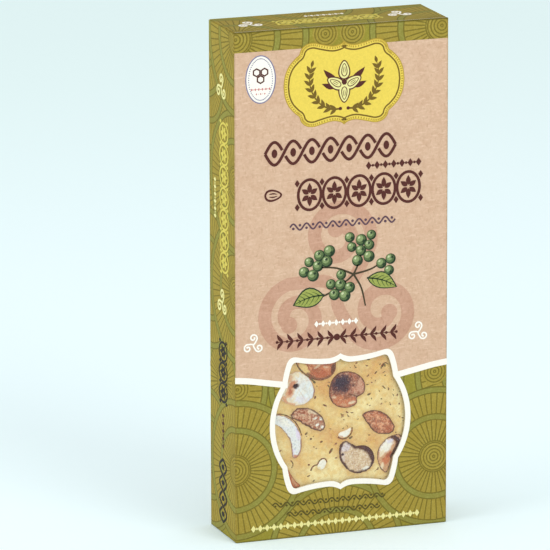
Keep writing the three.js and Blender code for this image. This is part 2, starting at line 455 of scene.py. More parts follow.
def leaf_outline(base, tip, width, bow):
    """A pointed leaf. bow bends its middle to the left of the way from base to tip."""
    way = tip - base
    side = way.orthogonal().normalized()
    share = np.linspace(0, 1, 9)
    return [base + way * t + side * (sin(pi * t ** 0.85) * width / 2 * sign + bow * sin(pi * t))
            for sign, half in ((-1, share), (1, share[-2:0:-1])) for t in half]


def almond_outline(centre, length, width, turn):
    """Blunt at one end, pointed at the other, which its turn points to."""
    angles = around(28)
    squeeze = width / length * (1 - 0.3 * np.cos(np.radians(angles)))
    return round_points(centre, length / 2, angles, squeeze, turn)


class Panel:
    """A flat side of the carton, with its right and up directions in the print."""

    def __init__(self, origin, right, up):
        self.origin, self.right, self.up = Vector(origin), Vector(right), Vector(up)
        self.out = self.right.cross(self.up)

    def at(self, u, v, w):
        return self.origin + u * self.right + v * self.up + w * self.out


FRONT_PANEL = Panel((0, FRONT, 0), (1, 0, 0), (0, 0, 1))
BACK_PANEL = Panel((0, BACK, 0), (-1, 0, 0), (0, 0, 1))
TOP_PANEL = Panel((0, 0, HEIGHT), (1, 0, 0), (0, 1, 0))
# On the sides the print reads upwards.
LEFT_PANEL = Panel((-HALF, 0, 0), (0, 0, 1), (0, 1, 0))
RIGHT_PANEL = Panel((HALF, 0, 0), (0, 0, 1), (0, -1, 0))

INKS = {name: ink("ink_" + name, srgb(*colour), spread) for name, colour, spread in (
    ("white", (243, 235, 224), 0.03), ("yellow", (227, 199, 84), 0.06), ("rope", (178, 146, 54), 0.06),
    ("lime_yellow", (208, 190, 84), 0.06), ("cream", (230, 220, 148), 0.05), ("olive", (114, 90, 34), 0.1),
    ("dark_olive", (88, 78, 34), 0.1), ("brown", (84, 42, 36), 0.1), ("violet", (92, 68, 80), 0.1),
    ("slate", (122, 116, 146), 0.1), ("rose", (196, 120, 118), 0.1), ("near_black", (42, 36, 32), 0.1),
    ("berry_shade", (42, 60, 40), 0.2), ("berry_body", (86, 104, 64), 0.2),
    ("berry_light", (134, 150, 100), 0.15), ("berry_glint", (196, 202, 160), 0.1),
    ("leaf", (152, 158, 80), 0.15), ("leaf_vein", (84, 100, 48), 0.15), ("stem", (70, 60, 42), 0.1))}
INKS["watermark"] = kraft("kraft_watermark", srgb(197, 153, 129))


class Print:
    """Printed shapes on one panel. Those of one colour and layer are joined into closed slabs."""

    def __init__(self, name, panel):
        self.name = name
        self.panel = panel
        self.shapes = {}

    def fill(self, outline, ink_name, layer=3):
        """A filled outline without holes."""
        loop = [Vector(p[:2]) for p in outline]
        if sum(a.cross(b) for a, b in zip(loop, loop[1:] + loop[:1])) < 0:
            loop.reverse()
        self.shapes.setdefault((layer, ink_name), []).append(loop)

    def strip(self, left, right, ink_name, layer=3, loop=False):
        """The area between two lines that have as many points each."""
        count = len(left)
        for i in range(count if loop else count - 1):
            k = (i + 1) % count
            self.fill([left[i], left[k], right[k], right[i]], ink_name, layer)

    def stroke(self, line, width, ink_name, layer=3, ends=(1.0, 1.0), swell=0.0):
        """A pen stroke. ends are the shares of the width there, and swell adds in between."""
        count = len(line)
        left, right = [], []
        for i, p in enumerate(line):
            ahead = line[min(i + 1, count - 1)] - line[max(i - 1, 0)]
            t = i / (count - 1)
            share = ends[0] + (ends[1] - ends[0]) * t + swell * sin(pi * t)
            side = ahead.orthogonal().normalized() * width * share / 2
            left.append(p + side)
            right.append(p - side)
        self.strip(left, right, ink_name, layer)

    def disc(self, centre, radius, ink_name, layer=3, steps=20, squeeze=1.0, turn=0.0):
        self.fill(round_points(centre, radius, around(steps), squeeze, turn), ink_name, layer)

    def leaf(self, base, tip, width, ink_name, layer=3, bow=0.0):
        self.fill(leaf_outline(Vector(base), Vector(tip), width, bow), ink_name, layer)

    def almond(self, centre, length, width, turn, line, ink_name, layer=3):
        """An almond in outline, with two short veins."""
        self.strip(almond_outline(centre, length, width, turn),
                   almond_outline(centre, length - 2 * line, width - 2 * line, turn),
                   ink_name, layer, loop=True)
        ahead = heading(turn)
        for side in (-1, 1):
            vein = [Vector(centre) + ahead * length * t + ahead.orthogonal() * side * width * s
                    for t, s in ((-0.24, 0.1), (0.0, 0.15), (0.22, 0.08))]
            self.stroke(curve(vein, 4), line * 0.7, ink_name, layer, (0.3, 0.3), 0.7)

    def triskele(self, centre, distance, coil, turns, width, ink_name, layer=3, turn=90):
        """Three spirals, each coiling from one radius to another, that run together in the middle."""
        centre = Vector(centre)
        for way in (turn, turn + 120, turn + 240):
            eye = round_points(centre, distance, [way])[0]
            line = spiral(eye, *coil, way - 110, turns, 44)
            lead = curve([centre, (centre + line[0]) / 2 + (line[0] - line[2]) * 0.8, line[0]])
            self.stroke(lead[:-1] + line, width, ink_name, layer, (0.9, 0.9), 0.1)
            self.disc(line[-1], width * 0.62, ink_name, layer)

    def make(self):
        vertices, faces, slots = [], [], []
        names = [name for name in INKS if any(name == ink_name for _, ink_name in self.shapes)]
        for (layer, ink_name), shapes in sorted(self.shapes.items()):
            starts = np.cumsum([0] + [len(s) for s in shapes])
            loops = [list(range(a, b)) for a, b in zip(starts, starts[1:])]
            flat, _, cells, *_, owners = delaunay_2d_cdt(sum(shapes, []), [], loops, 1, 1e-4)
            walled = closed(upward([cell for cell, owner in zip(cells, owners) if owner], flat), len(flat))
            base = len(vertices)
            for w in (INK * layer, -INK_ROOT):
                vertices += [self.panel.at(p.x, p.y, w) for p in flat]
            faces += [tuple(base + i for i in f) for f in walled]
            slots += [names.index(ink_name)] * len(walled)
        piece(self.name, *used(vertices, faces), [INKS[name] for name in names], "carton", slots=slots)


# ---------------------------------------------------------------- window outline


def mirrored(quarter):
    """A whole outline, counter-clockwise, from its quarter between the top and the right."""
    right = quarter + [Vector((p.x, -p.y)) for p in reversed(quarter[:-1])]
    whole = right + [Vector((-p.x, p.y)) for p in reversed(right[1:-1])]
    return whole[::-1]


def quadratic(a, b, c, steps=8):
    """Points on a quadratic curve, without its last one."""
    a, b, c = Vector(a), Vector(b), Vector(c)
    return [a * (1 - t) ** 2 + 2 * b * t * (1 - t) + c * t * t for t in np.arange(steps) / steps]


def window_outline(grow):
    """The bracket outline of the opening, or of its border, counter-clockwise on the front panel."""
    half_width = WINDOW_HALF_WIDTH + grow
    half_height = WINDOW_HALF_HEIGHT + grow
    waist = Vector((WINDOW_WAIST_U + grow * 0.92, WINDOW_WAIST_V + grow * 0.3))
    dip = Vector((4.2 + grow * 0.2, half_height - WINDOW_DIP))
    neck = Vector((WINDOW_WAIST_U - 1.4 + grow * 0.85, WINDOW_HALF_HEIGHT - 2.3 + grow * 0.75))
    corner = Vector((WINDOW_WAIST_U - 4.1 + grow * 0.3, half_height))
    bulge = (half_width ** 2 - waist.length_squared) / (2 * (half_width - waist.x))
    turns = np.degrees(atan2(waist.y, waist.x - bulge)) * np.linspace(1, 0, 13)
    quarter = [
        *quadratic((0, half_height), (1.6 + grow * 0.25, dip.y + 0.1), dip),
        *quadratic(dip, (10.5, dip.y), corner),
        *quadratic(corner, (corner.x + 2 + grow * 0.4, half_height + 0.5), neck),
        *quadratic(neck, (WINDOW_WAIST_U - 0.5 + grow, WINDOW_HALF_HEIGHT - 5.1 + grow * 0.4), waist),
        *round_points((bulge, 0), half_width - bulge, turns),
    ]
    return [p + Vector((WINDOW_U, WINDOW_V)) for p in mirrored(quarter)]


# ---------------------------------------------------------------- carton


def carton_piece():
    """The board, from the CAD carton's own faces, with a print for each outside panel."""
    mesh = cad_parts["carton"].data.copy()
    mesh.name = "carton_board"
    mesh.materials.clear()
    back_from, back_to = -HALF - DEPTH - WIDTH, -HALF - DEPTH
    panels = (  # the way it faces, its area of the unfolded print, how a point unfolds, and its kraft
        ("front", (0, -1, 0), (-HALF, HALF, 0, HEIGHT), lambda p: (p.x, p.z), 0.0),
        ("left", (-1, 0, 0), (back_to, -HALF, 0, HEIGHT), lambda p: (FRONT - HALF - p.y, p.z), None),
        ("right", (1, 0, 0), (HALF, -back_to, 0, HEIGHT), lambda p: (HALF - FRONT + p.y, p.z), None),
        ("back", (0, 1, 0), (back_from, back_to, 0, HEIGHT), lambda p: (back_to - HALF - p.x, p.z),
         back_to - HALF),
        ("top", (0, 0, 1), (-HALF, HALF, HEIGHT, HEIGHT + DEPTH), lambda p: (p.x, HEIGHT - FRONT + p.y),
         None),
        ("bottom", (0, 0, -1), (-HALF, HALF, -DEPTH, 0), lambda p: (p.x, FRONT - p.y), None),
    )
    for name, _, area, _, kraft_middle in panels:
        mesh.materials.append(board_print("print_" + name, area, kraft_middle))
    for name, colour in (("board_edge", srgb(226, 218, 196)), ("board_inside", srgb(205, 196, 172))):
        mesh.materials.append(kraft(name, colour))
    edge_slot, inside_slot = len(panels), len(panels) + 1

    uv = mesh.uv_layers.new(name="print")
    for face in mesh.polygons:
        middle = face.center / MM
        depths = (middle.y - FRONT, middle.x + HALF, HALF - middle.x, BACK - middle.y,
                  HEIGHT - middle.z, middle.z)
        # The folds at the ends show the print on their whole thickness.
        at_end = min(depths[4:]) < CARD + 0.1
        allowed = [CARD + 0.1 if at_end else CREASE] * 4 + [CARD + 0.1] * 2
        scores = [Vector(panel[1]).dot(face.normal) - 10 * max(0, depth - limit)
                  for panel, depth, limit in zip(panels, depths, allowed)]
        best = int(np.argmax(scores))
        if scores[best] > 0.3:
            face.material_index = best
        else:
            face.material_index = inside_slot if min(depths) > CARD - 0.05 else edge_slot
        for loop in face.loop_indices:
            point = mesh.vertices[mesh.loops[loop].vertex_index].co / MM
            uv.data[loop].uv = panels[best][3](point)
    link("carton_board", mesh, "carton", "carton")


# ---------------------------------------------------------------- friezes in the places of lettering


def interlace(made, u0, u1, v, tall, width, bays, ink_name):
    """Two strands that cross over and under each other, with a lozenge in each loop."""
    step = (u1 - u0) / bays
    gap = 0.085
    for sign in (-1, 1):
        ends = [0.0]
        for k in range(1, bays):
            if k % 2 == (sign > 0):
                ends += [k - gap, k + gap]
        ends.append(float(bays))
        for start, end in zip(ends[::2], ends[1::2]):
            share = np.linspace(start, end, int(12 * (end - start)) + 2)
            made.stroke([Vector((u0 + step * t, v + sign * tall / 2 * sin(pi * t))) for t in share],
                        width, ink_name)
    for k in range(bays):
        made.disc((u0 + step * (k + 0.5), v), tall * 0.13, ink_name, 3, 12, 1.5)


def rosettes(made, u0, u1, v, tall, width, bays, ink_name):
    """Rings side by side with six petals in each, and lozenges above and below their joints."""
    step = (u1 - u0) / bays
    for k in range(bays + 1):
        joint = Vector((u0 + step * k, v))
        for side in (-1, 1):
            made.disc(joint + Vector((0, side * tall * 0.37)), width * 1.15, ink_name, 3, 4, 0.7, 90)
        if k < bays:
            centre = joint + Vector((step / 2, 0))
            rings = [round_points(centre, step / 2 - d, around(32), (tall / 2 - d) / (step / 2 - d))
                     for d in (-width * 0.1, width * 0.75)]
            made.strip(*rings, ink_name, loop=True)
            for angle in around(6, 30):
                foot, tip = round_points(centre, np.array((0.05, 0.36)) * step, [angle, angle], tall / step)
                made.leaf(foot, tip, step * 0.19, ink_name)


def beads(made, u0, u1, v, tall, pitch, ink_name):
    """Small lozenges with a dot between each two."""
    count = 2 * max(1, round((u1 - u0) / pitch / 2))
    for k, u in enumerate(np.linspace(u0, u1, count + 1)):
        if k % 2:
            made.disc((u, v), tall * 0.17, ink_name, steps=8)
        else:
            made.disc((u, v), tall * 0.5, ink_name, 3, 4, 0.72, 90)


def ripple(made, u0, u1, v, tall, width, bays, ink_name):
    """A thin wavy line with a dot in each hollow."""
    step = (u1 - u0) / bays
    share = np.linspace(0, bays, bays * 8 + 1)
    made.stroke([Vector((u0 + step * t, v + tall * 0.32 * sin(pi * t))) for t in share], width, ink_name)
    for k in range(bays):
        side = -1 if k % 2 else 1
        made.disc((u0 + step * (k + 0.5), v - side * tall * 0.16), width * 0.85, ink_name, steps=10)


def garland(made, u0, u1, v, tall, width, pairs, ink_name):
    """Leaves in pairs on a stem, pointing away from the middle, with berries between them."""
    middle, step = (u0 + u1) / 2, (u1 - u0) / 2 / pairs
    made.stroke([Vector((u, v)) for u in (u0, middle, u1)], width, ink_name, 3, (0.6, 0.6), 0.4)
    made.disc((middle, v), tall * 0.2, ink_name)
    for way in (-1, 1):
        for k in range(pairs):
            u = middle + way * step * (k + 0.3)
            end = u + way * step * 0.62
            for side in (-1, 1):
                made.leaf((u, v), (end, v + side * tall * 0.48), tall * 0.2, ink_name,
                          bow=-side * way * tall * 0.06)
            made.disc((end, v), tall * 0.09, ink_name, steps=10)


# ---------------------------------------------------------------- the print

SMALL_TRISKELE = (2.5, (1.5, 0.45), 1.05, 0.62, "white", 2)  # distance, coil radii, turns, line, ink, layer


def swash(made, points, layer):
    """A white line between kraft and green, with upright ends."""
    line = curve(points)
    up = Vector((0, SWASH_WIDTH / 2))
    made.strip([p + up for p in line], [p - up for p in line], "white", layer)


def border(made):
    made.strip(window_outline(0.02), window_outline(WINDOW_BORDER), "white", 2, loop=True)
    for side in (-1, 1):
        swash(made, [(side * u, v) for u, v in (
            (HALF, SWASH_V), (36, SWASH_V - 0.6), (29, SWASH_V - 1.9),
            (SWASH_MEETS_U, SWASH_V - SWASH_DROP))], 2)
    made.triskele((-34.2, 74.3), *SMALL_TRISKELE)
    made.triskele((29.8, 73.5), *SMALL_TRISKELE)


def watermark(made):
    """A large pale triskele, a traditional figure of the coast."""
    made.triskele((-1.4, 92.4), 19.4, (13.2, 3.2), 1.35, 5.1, "watermark", 1)


PLAQUE = Vector((0.9, 168.8))
PLAQUE_QUARTER = ((0, 15.4), (1.5, 14.4), (4.4, 13.9), (8.4, 14.7), (11.8, 15.5), (14.7, 15.0),
                  (16.6, 13.3), (17.3, 11.4), (18.8, 10.2), (21.3, 7.4), (22.8, 3.9), (23.3, 0))


def plaque_outline(shrink):
    """The bracket-shaped label, drawn in by shrink."""
    loop = mirrored(curve(PLAQUE_QUARTER, 4))
    ways = [(b - a).orthogonal().normalized() for a, b in zip(loop[-1:] + loop, loop[1:] + loop[:1])]
    return [p + way * shrink + PLAQUE for p, way in zip(loop, ways)]


def plaque(made):
    """A yellow label with an inner line, a stitched edge, and almonds between two laurel sprays."""
    made.fill(plaque_outline(0), "rope", 2)
    made.fill(plaque_outline(0.35), "yellow")
    made.strip(plaque_outline(2.15), plaque_outline(1.6), "olive", 4, loop=True)
    for outer, inner in zip(plaque_outline(0.5), plaque_outline(1.2)):
        made.stroke([outer, inner], 0.42, "rope", 4)
    for side in (-1, 1):
        stem = curve([PLAQUE + Vector((side * u, v)) for u, v in (
            (0.9, -9.4), (5.2, -9.3), (9.6, -6.8), (12.4, -2.6), (13.4, 2.2), (12.6, 6.6))])
        made.stroke(stem, 0.6, "olive", 4, (1.2, 0.5))
        for k in range(3, len(stem) - 1, 3):
            ahead = (stem[k + 1] - stem[k - 1]).normalized()
            for turn in (-1, 1):
                aside = ahead.orthogonal() * turn
                tip = stem[k] + ahead * 2.5 + aside * 1.9
                made.leaf(stem[k] + aside * 0.1, tip, 1.25, "olive", 4, -turn * 0.2)
        made.leaf(stem[-1], stem[-1] + Vector((-side * 0.7, 2.6)), 1.2, "olive", 4)
        for base_v, tip_u, tip_v in ((-1.2, 8.6, 0.2), (1.2, 8.0, 5.4)):
            made.leaf(PLAQUE + Vector((side * 2.6, base_v)), PLAQUE + Vector((side * tip_u, tip_v)),
                      2.1, "brown", 4, -side * 0.5)
        made.disc(PLAQUE + Vector((side * 1.5, -9.4)), 0.62, "brown", 5)
    for turn, u, v in ((90, 0, 4.8), (150, -3.4, 0.2), (30, 3.4, 0.2), (270, 0, -3.8)):
        centre = PLAQUE + Vector((u, v))
        made.fill(almond_outline(centre, 7.2, 4.5, turn), "brown", 5)
        made.fill(almond_outline(centre, 6.3, 3.6, turn), "cream", 6)
        made.almond(centre, 4.9, 2.3, turn, 0.3, "brown", 7)
    made.disc(PLAQUE + Vector((0, 0.3)), 1.0, "brown", 7)


BADGE = Vector((-31.15, 172.3))
BADGE_HALF_WIDE, BADGE_HALF_TALL = 5.85, 8.9


def oval(shrink):
    """The badge's outline, drawn in by shrink."""
    half_wide, half_tall = BADGE_HALF_WIDE - shrink, BADGE_HALF_TALL - shrink
    return round_points(BADGE, half_wide, around(56), half_tall / half_wide)


def badge(made):
    """A white oval with a thin ring, a ring of dots, and a small comb of three cells over beads."""
    made.fill(oval(0), "white", 2)
    made.strip(oval(0.42), oval(0.02), "slate", loop=True)
    for spot in oval(1.3):
        made.disc(spot, 0.22, "slate", steps=8)
    for u, v in ((-1.5, 2.6), (1.5, 2.6), (0, 0)):
        inner, outer = (round_points(BADGE + Vector((u, v)), radius, around(6, 30)) for radius in (1.1, 1.7))
        made.strip(inner, outer, "brown", loop=True)
    for reach, drop, tall, pitch in ((3.4, 3.6, 1.1, 0.75), (1.6, 5.3, 0.8, 0.65)):
        beads(made, BADGE.x - reach, BADGE.x + reach, BADGE.y - drop, tall, pitch, "rose")


def friezes(made):
    """Bands of ornament where a pack has its words, each in the words' own tone and size."""
    interlace(made, -29.5, 20.8, 144.6, 8.4, 1.1, 7, "brown")
    beads(made, 10.4, 29.8, 137.4, 3.0, 1.75, "brown")
    made.almond((-26.4, 129.2), 6.8, 4.4, 0, 0.7, "brown")
    rosettes(made, -17.2, 30.6, 128.4, 12.0, 1.2, 5, "brown")
    ripple(made, -20.0, 20.7, 116.8, 3.6, 0.6, 16, "violet")
    beads(made, -9.8, 5.5, 79.9, 2.4, 1.3, "white")
    garland(made, -25.4, 21.6, 74.4, 6.2, 0.5, 6, "brown")
    ripple(made, -27.0, 17.0, 13.0, 2.6, 0.5, 20, "dark_olive")
    ripple(made, -21.5, 15.0, 9.1, 2.6, 0.5, 16, "dark_olive")
    beads(made, -34.4, 29.6, 4.8, 2.6, 1.35, "cream")


BERRY_RADIUS = 2.1
CLUSTERS = (  # the middle of a cluster, and its berries' places about it
    ((-9.2, 101.6), ((0, 0), (3.5, 1.4), (0.6, 3.8), (-3.4, 1.7), (-1.9, -3.4), (4.4, 5.2), (-5.4, -1.9))),
    ((7.4, 106.0), ((0, 0), (-3.5, 1.6), (3.3, 1.9), (0.2, 4.0), (3.2, -2.4), (-1.3, -3.6), (4.1, 5.6),
                    (-4.3, 5.3))),
    ((-0.4, 93.8), ((0, 0), (-3.8, 0.5), (3.5, -1.2), (0.2, 3.8), (-2.4, -3.4), (1.6, -4.2))),
    ((15.4, 100.6), ((0, 0), (3.0, -2.8), (3.6, 1.4))),
)


def berry(made, spot, radius, turn):
    """A berry lit from the upper left: shade, body, a lit patch, a glint and a dark crown."""
    made.disc(spot, radius, "berry_shade", 3, 24)
    made.disc(spot + Vector((-0.14, 0.12)) * radius, radius * 0.84, "berry_body", 4, 22)
    made.disc(spot + Vector((-0.26, 0.26)) * radius, radius * 0.56, "berry_light", 5, 18)
    made.disc(spot + Vector((-0.42, 0.44)) * radius, radius * 0.24, "berry_glint", 6, 12, 0.7, 45)
    crown = round_points(spot, radius * 0.42, [turn])[0]
    for tip in round_points(crown, radius * 0.36, around(5, turn)):
        made.leaf(crown, tip, radius * 0.16, "berry_shade", 7)
    made.stroke(round_points(spot, radius * 0.66, np.linspace(-80, 10, 9)), radius * 0.12,
                "berry_shade", 7, (0.3, 0.3), 0.7)


def sprig_leaf(made, base, tip, width, bow):
    """A leaf with a dark edge, a midrib and side veins."""
    base, tip = Vector(base), Vector(tip)
    way = (tip - base).normalized()
    side = way.orthogonal()
    made.leaf(base, tip, width, "berry_shade", 3, bow)
    made.leaf(base.lerp(tip, 0.04), base.lerp(tip, 0.95), width * 0.86, "leaf", 4, bow * 0.96)
    rib = [base.lerp(tip, t) + side * bow * sin(pi * t) for t in np.linspace(0, 0.97, 14)]
    made.stroke(rib, 0.5, "berry_shade", 5, (1.2, 0.4))
    for k in range(1, 6):
        root = rib[2 * k]
        reach = width * 0.42 * sin(pi * (0.14 + k * 0.15))
        for sign in (-1, 1):
            end = root + (way * 0.9 + side * sign * 0.8) * reach
            bend = (root + end) / 2 + side * sign * 0.25
            made.stroke(curve([root, bend, end], 4), 0.4, "leaf_vein", 5, (1, 0.3))


def sprig(made):
    """A sprig of round berries with two leaves."""
    joint = (4.6, 97.4)
    for stem in ((joint, (7.6, 92.0), (9.2, 85.2)), (joint, (-2.0, 100.2), (-8.6, 101.0)),
                 (joint, (6.4, 101.2), (7.4, 105.4)), (joint, (2.2, 95.4), (0.2, 94.4)),
                 (joint, (10.6, 98.6), (15.2, 100.6)), ((-2.0, 92.4), (-6.0, 90.6), (-8.0, 90.0))):
        made.stroke(curve(stem), 0.75, "stem", 3, (1.0, 0.7))
    sprig_leaf(made, (-6.8, 90.6), (-19.0, 87.6), 7.6, -0.9)
    sprig_leaf(made, (9.8, 95.6), (21.6, 91.2), 6.4, 0.9)
    spread = random.Random(5)
    for middle, places in CLUSTERS:
        for place in places:
            size = BERRY_RADIUS * spread.uniform(0.88, 1.08)
            berry(made, Vector(middle) + Vector(place), size, spread.uniform(-60, 120))


def side_print(made):
    """Up a side: triskeles, a yellow frieze and two dark ones."""
    for u in (87.4, 167.4):
        made.triskele((u, 0), 3.2, (2.0, 0.55), 1.05, 0.85, "cream", turn=0)
    rosettes(made, 99.0, 155.0, -2.6, 9.6, 0.95, 7, "lime_yellow")
    beads(made, 118.5, 132.0, 7.2, 2.4, 1.3, "cream")
    rosettes(made, 50.0, 73.0, -0.8, 9.2, 0.95, 3, "near_black")
    beads(made, 33.5, 45.0, -0.5, 2.4, 1.4, "brown")
    interlace(made, 4.6, 28.4, -0.1, 7.4, 0.95, 4, "near_black")


def top_print(made):
    for u in (-30.8, 26.7):
        made.triskele((u, -1.0), 3.0, (1.8, 0.5), 1.05, 0.8, "white")
    rosettes(made, -21.0, 18.6, -2.2, 8.0, 0.9, 5, "lime_yellow")
    beads(made, -6.5, 7.5, 6.4, 2.0, 1.2, "white")


def back_print(made):
    low = SWASH_V - SWASH_DROP
    points = [(0, low), (SWASH_MEETS_U - 3, low + 0.15), (30, SWASH_V - 1.8), (HALF, SWASH_V)]
    swash(made, [(-u, v) for u, v in points[:0:-1]] + points, 1)
    for u in (-32.0, 32.0):
        made.triskele((u, 74.2), *SMALL_TRISKELE)


PRINTS = (
    ("print_border", FRONT_PANEL, border),
    ("print_watermark_front", FRONT_PANEL, watermark),
    ("print_watermark_back", BACK_PANEL, watermark),
    ("print_plaque", FRONT_PANEL, plaque),
    ("print_badge", FRONT_PANEL, badge),
    ("print_friezes_front", FRONT_PANEL, friezes),
    ("print_friezes_back", BACK_PANEL, friezes),
    ("print_sprig", FRONT_PANEL, sprig),
    ("print_left", LEFT_PANEL, side_print),
    ("print_right", RIGHT_PANEL, side_print),
    ("print_top", TOP_PANEL, top_print),
    ("print_back", BACK_PANEL, back_print),
)


# ---------------------------------------------------------------- painting food

NOUGAT_LOW, NOUGAT_HIGH = box_mm("nougat")
FACE_Y = NOUGAT_LOW.y  # the cut face of the nougat
NUT_BASE_Y = FACE_Y + 3.0
NUT_TOP = 0.7  # how far a nut may stand out, which keeps it off the film

HONEY = srgb(224, 190, 124)
HONEY_PALE = srgb(240, 220, 160)
HONEY_DEEP = srgb(212, 156, 90)
WHITE_FLESH = srgb(238, 231, 216)
CREAM_FLESH = srgb(232, 212, 178)
BEIGE_FLESH = srgb(214, 184, 148)
GREY_FLESH = srgb(228, 227, 222)
LILAC_FLESH = srgb(222, 213, 224)
TAN = srgb(206, 158, 118)
PALE_ORANGE = srgb(218, 154, 112)
ORANGE = srgb(198, 118, 76)
BROWN_PINK = srgb(166, 106, 82)
RUST = srgb(176, 92, 58)
SKIN = srgb(146, 86, 58)
UMBER = srgb(90, 50, 34)
PLUM = srgb(72, 42, 50)


def smooth_step(value, low, high):
    t = np.clip((value - low) / (high - low), 0, 1)
    return t * t * (3 - 2 * t)


def field(points, scale, seed, depth=3):
    """Smooth noise from about -1 to 1 at each (x, z)."""
    return np.array([noise.fractal(Vector((x * scale, seed * 7.3, z * scale)), 0.9, 2.1, depth)
                     for x, z in points])


def distance_to(points, line, loop=False):
    """Distance to a line; to a closed outline it is positive inside and negative outside."""
    a = np.array(line)
    b = np.roll(a, -1, axis=0)
    if not loop:
        a, b = a[:-1], b[:-1]
    near = np.full(len(points), 1e9)
    inside = np.zeros(len(points), bool)
    for (ax, az), (bx, bz) in zip(a, b):
        ex, ez = bx - ax, bz - az
        rel = points - (ax, az)
        t = np.clip((rel[:, 0] * ex + rel[:, 1] * ez) / (ex * ex + ez * ez + 1e-12), 0, 1)
        near = np.minimum(near, np.hypot(rel[:, 0] - t * ex, rel[:, 1] - t * ez))
        crosses = (az > points[:, 1]) != (bz > points[:, 1])
        cut = ax + rel[:, 1] * ex / (ez if ez else 1e-12)
        inside ^= crosses & (points[:, 0] < cut)
    return np.where(inside, near, -near) if loop else near


def gap_to(points, x, z):
    """Distance of each point to one place."""
    return np.hypot(points[:, 0] - x, points[:, 1] - z)


class Face:
    """Colours at the points of a cut face, painted in layers."""

    def __init__(self, points, base, seed):
        self.points = points
        self.colours = np.tile(np.array(base), (len(points), 1))
        self.wander = field(points, 0.8, seed)
        self.fine = field(points, 2.4, seed + 50, 2)

    def lay(self, mask, colour):
        self.colours += (np.array(colour) - self.colours) * np.clip(mask, 0, 1)[:, None]

    def turned(self, turn, x=0.0, z=0.0):
        """The points along and across a direction, from one place."""
        c, s = heading(turn)
        dx, dz = self.points[:, 0] - x, self.points[:, 1] - z
        return dx * c + dz * s, dz * c - dx * s

    def dab(self, x, z, long, wide, turn, colour, strength=1.0):
        """A soft oval with an uneven edge: half sizes, and the turn of its long side."""
        along, across = self.turned(turn, x, z)
        gap = np.hypot(along / long, across / wide) + (0.3 * self.wander + 0.14 * self.fine)
        self.lay(strength * (1 - smooth_step(gap, 0.6, 1.15)), colour)

    def line(self, path, width, colour, strength=1.0):
        """A pen line that swells a little."""
        gap = distance_to(self.points, curve(path, 5)) - 0.12 * width * self.wander
        self.lay(strength * (1 - smooth_step(gap, width * 0.3, width * 0.75)), colour)

    def fleck(self, low, high, colour, strength=1.0):
        """Small spots where the fine noise passes from low to high."""
        self.lay(strength * smooth_step(self.fine, low, high), colour)

    def blotch(self, scale, seed, colour, strength=0.8):
        """Patches with soft edges, from noise of their own."""
        self.lay(strength * smooth_step(field(self.points, scale, seed), 0.0, 0.32), colour)

    def grain(self, turn, colour, seed, strength=0.8):
        """Veins that run along a direction."""
        along, across = self.turned(turn)
        waves = np.stack([along * 0.2, across * 1.3 + 0.4 * self.wander], axis=1)
        self.lay(strength * smooth_step(field(waves, 1.0, seed, 2), 0.02, 0.3), colour)

    def paint(self, mesh, back):
        """Writes the colours to the mesh, and one colour to its other points."""
        flat = np.ones((len(mesh.vertices), 4))
        flat[:, :3] = back
        flat[:len(self.points), :3] = np.clip(self.colours, 0, 1)
        layer = mesh.color_attributes.new("tint", "FLOAT_COLOR", "POINT")
        layer.data.foreach_set("color", flat.ravel())


def painted(name, roughness, gloss, fine):
    """Takes the colour painted on the mesh, with finer mottling and relief."""
    shader = Shader(name, roughness, gloss)
    tint = shader.node("ShaderNodeVertexColor", layer_name="tint").outputs["Color"]
    darker = shader.mix(1.0, tint, (0.8, 0.74, 0.66), "MULTIPLY")
    mottle = shader.noise(fine, 4.0, roughness=0.7).step(0.45, 0.8)
    return shader.finish(shader.mix(mottle, tint, darker), fine * 1.5, 0.1, 4.0)


# ---------------------------------------------------------------- nuts

NUT_GRID = 0.22


@dataclass
class Nut:
    """A nut in the cut face: its outline, skin, and the marks painted on its flesh in order."""

    name: str
    slot: str
    outline: tuple
    flesh: tuple
    skin: tuple
    skin_width: float
    marks: tuple  # (what Face paints, its arguments)
    rise: float = 0.45
    shoulder: float = 2.2
    rough: float = 0.12
    ragged: float = 0.1
    pits: tuple = ()  # (x, z, radius, depth)

    def __post_init__(self):
        line = np.array(curve(self.outline, loop=True))
        away = line - line.mean(0)
        shake = self.ragged * field(line, 1.1, len(self.name) * 3.1)
        line += away * (shake / np.linalg.norm(away, axis=1))[:, None]
        self.outline = [Vector(p) for p in line]


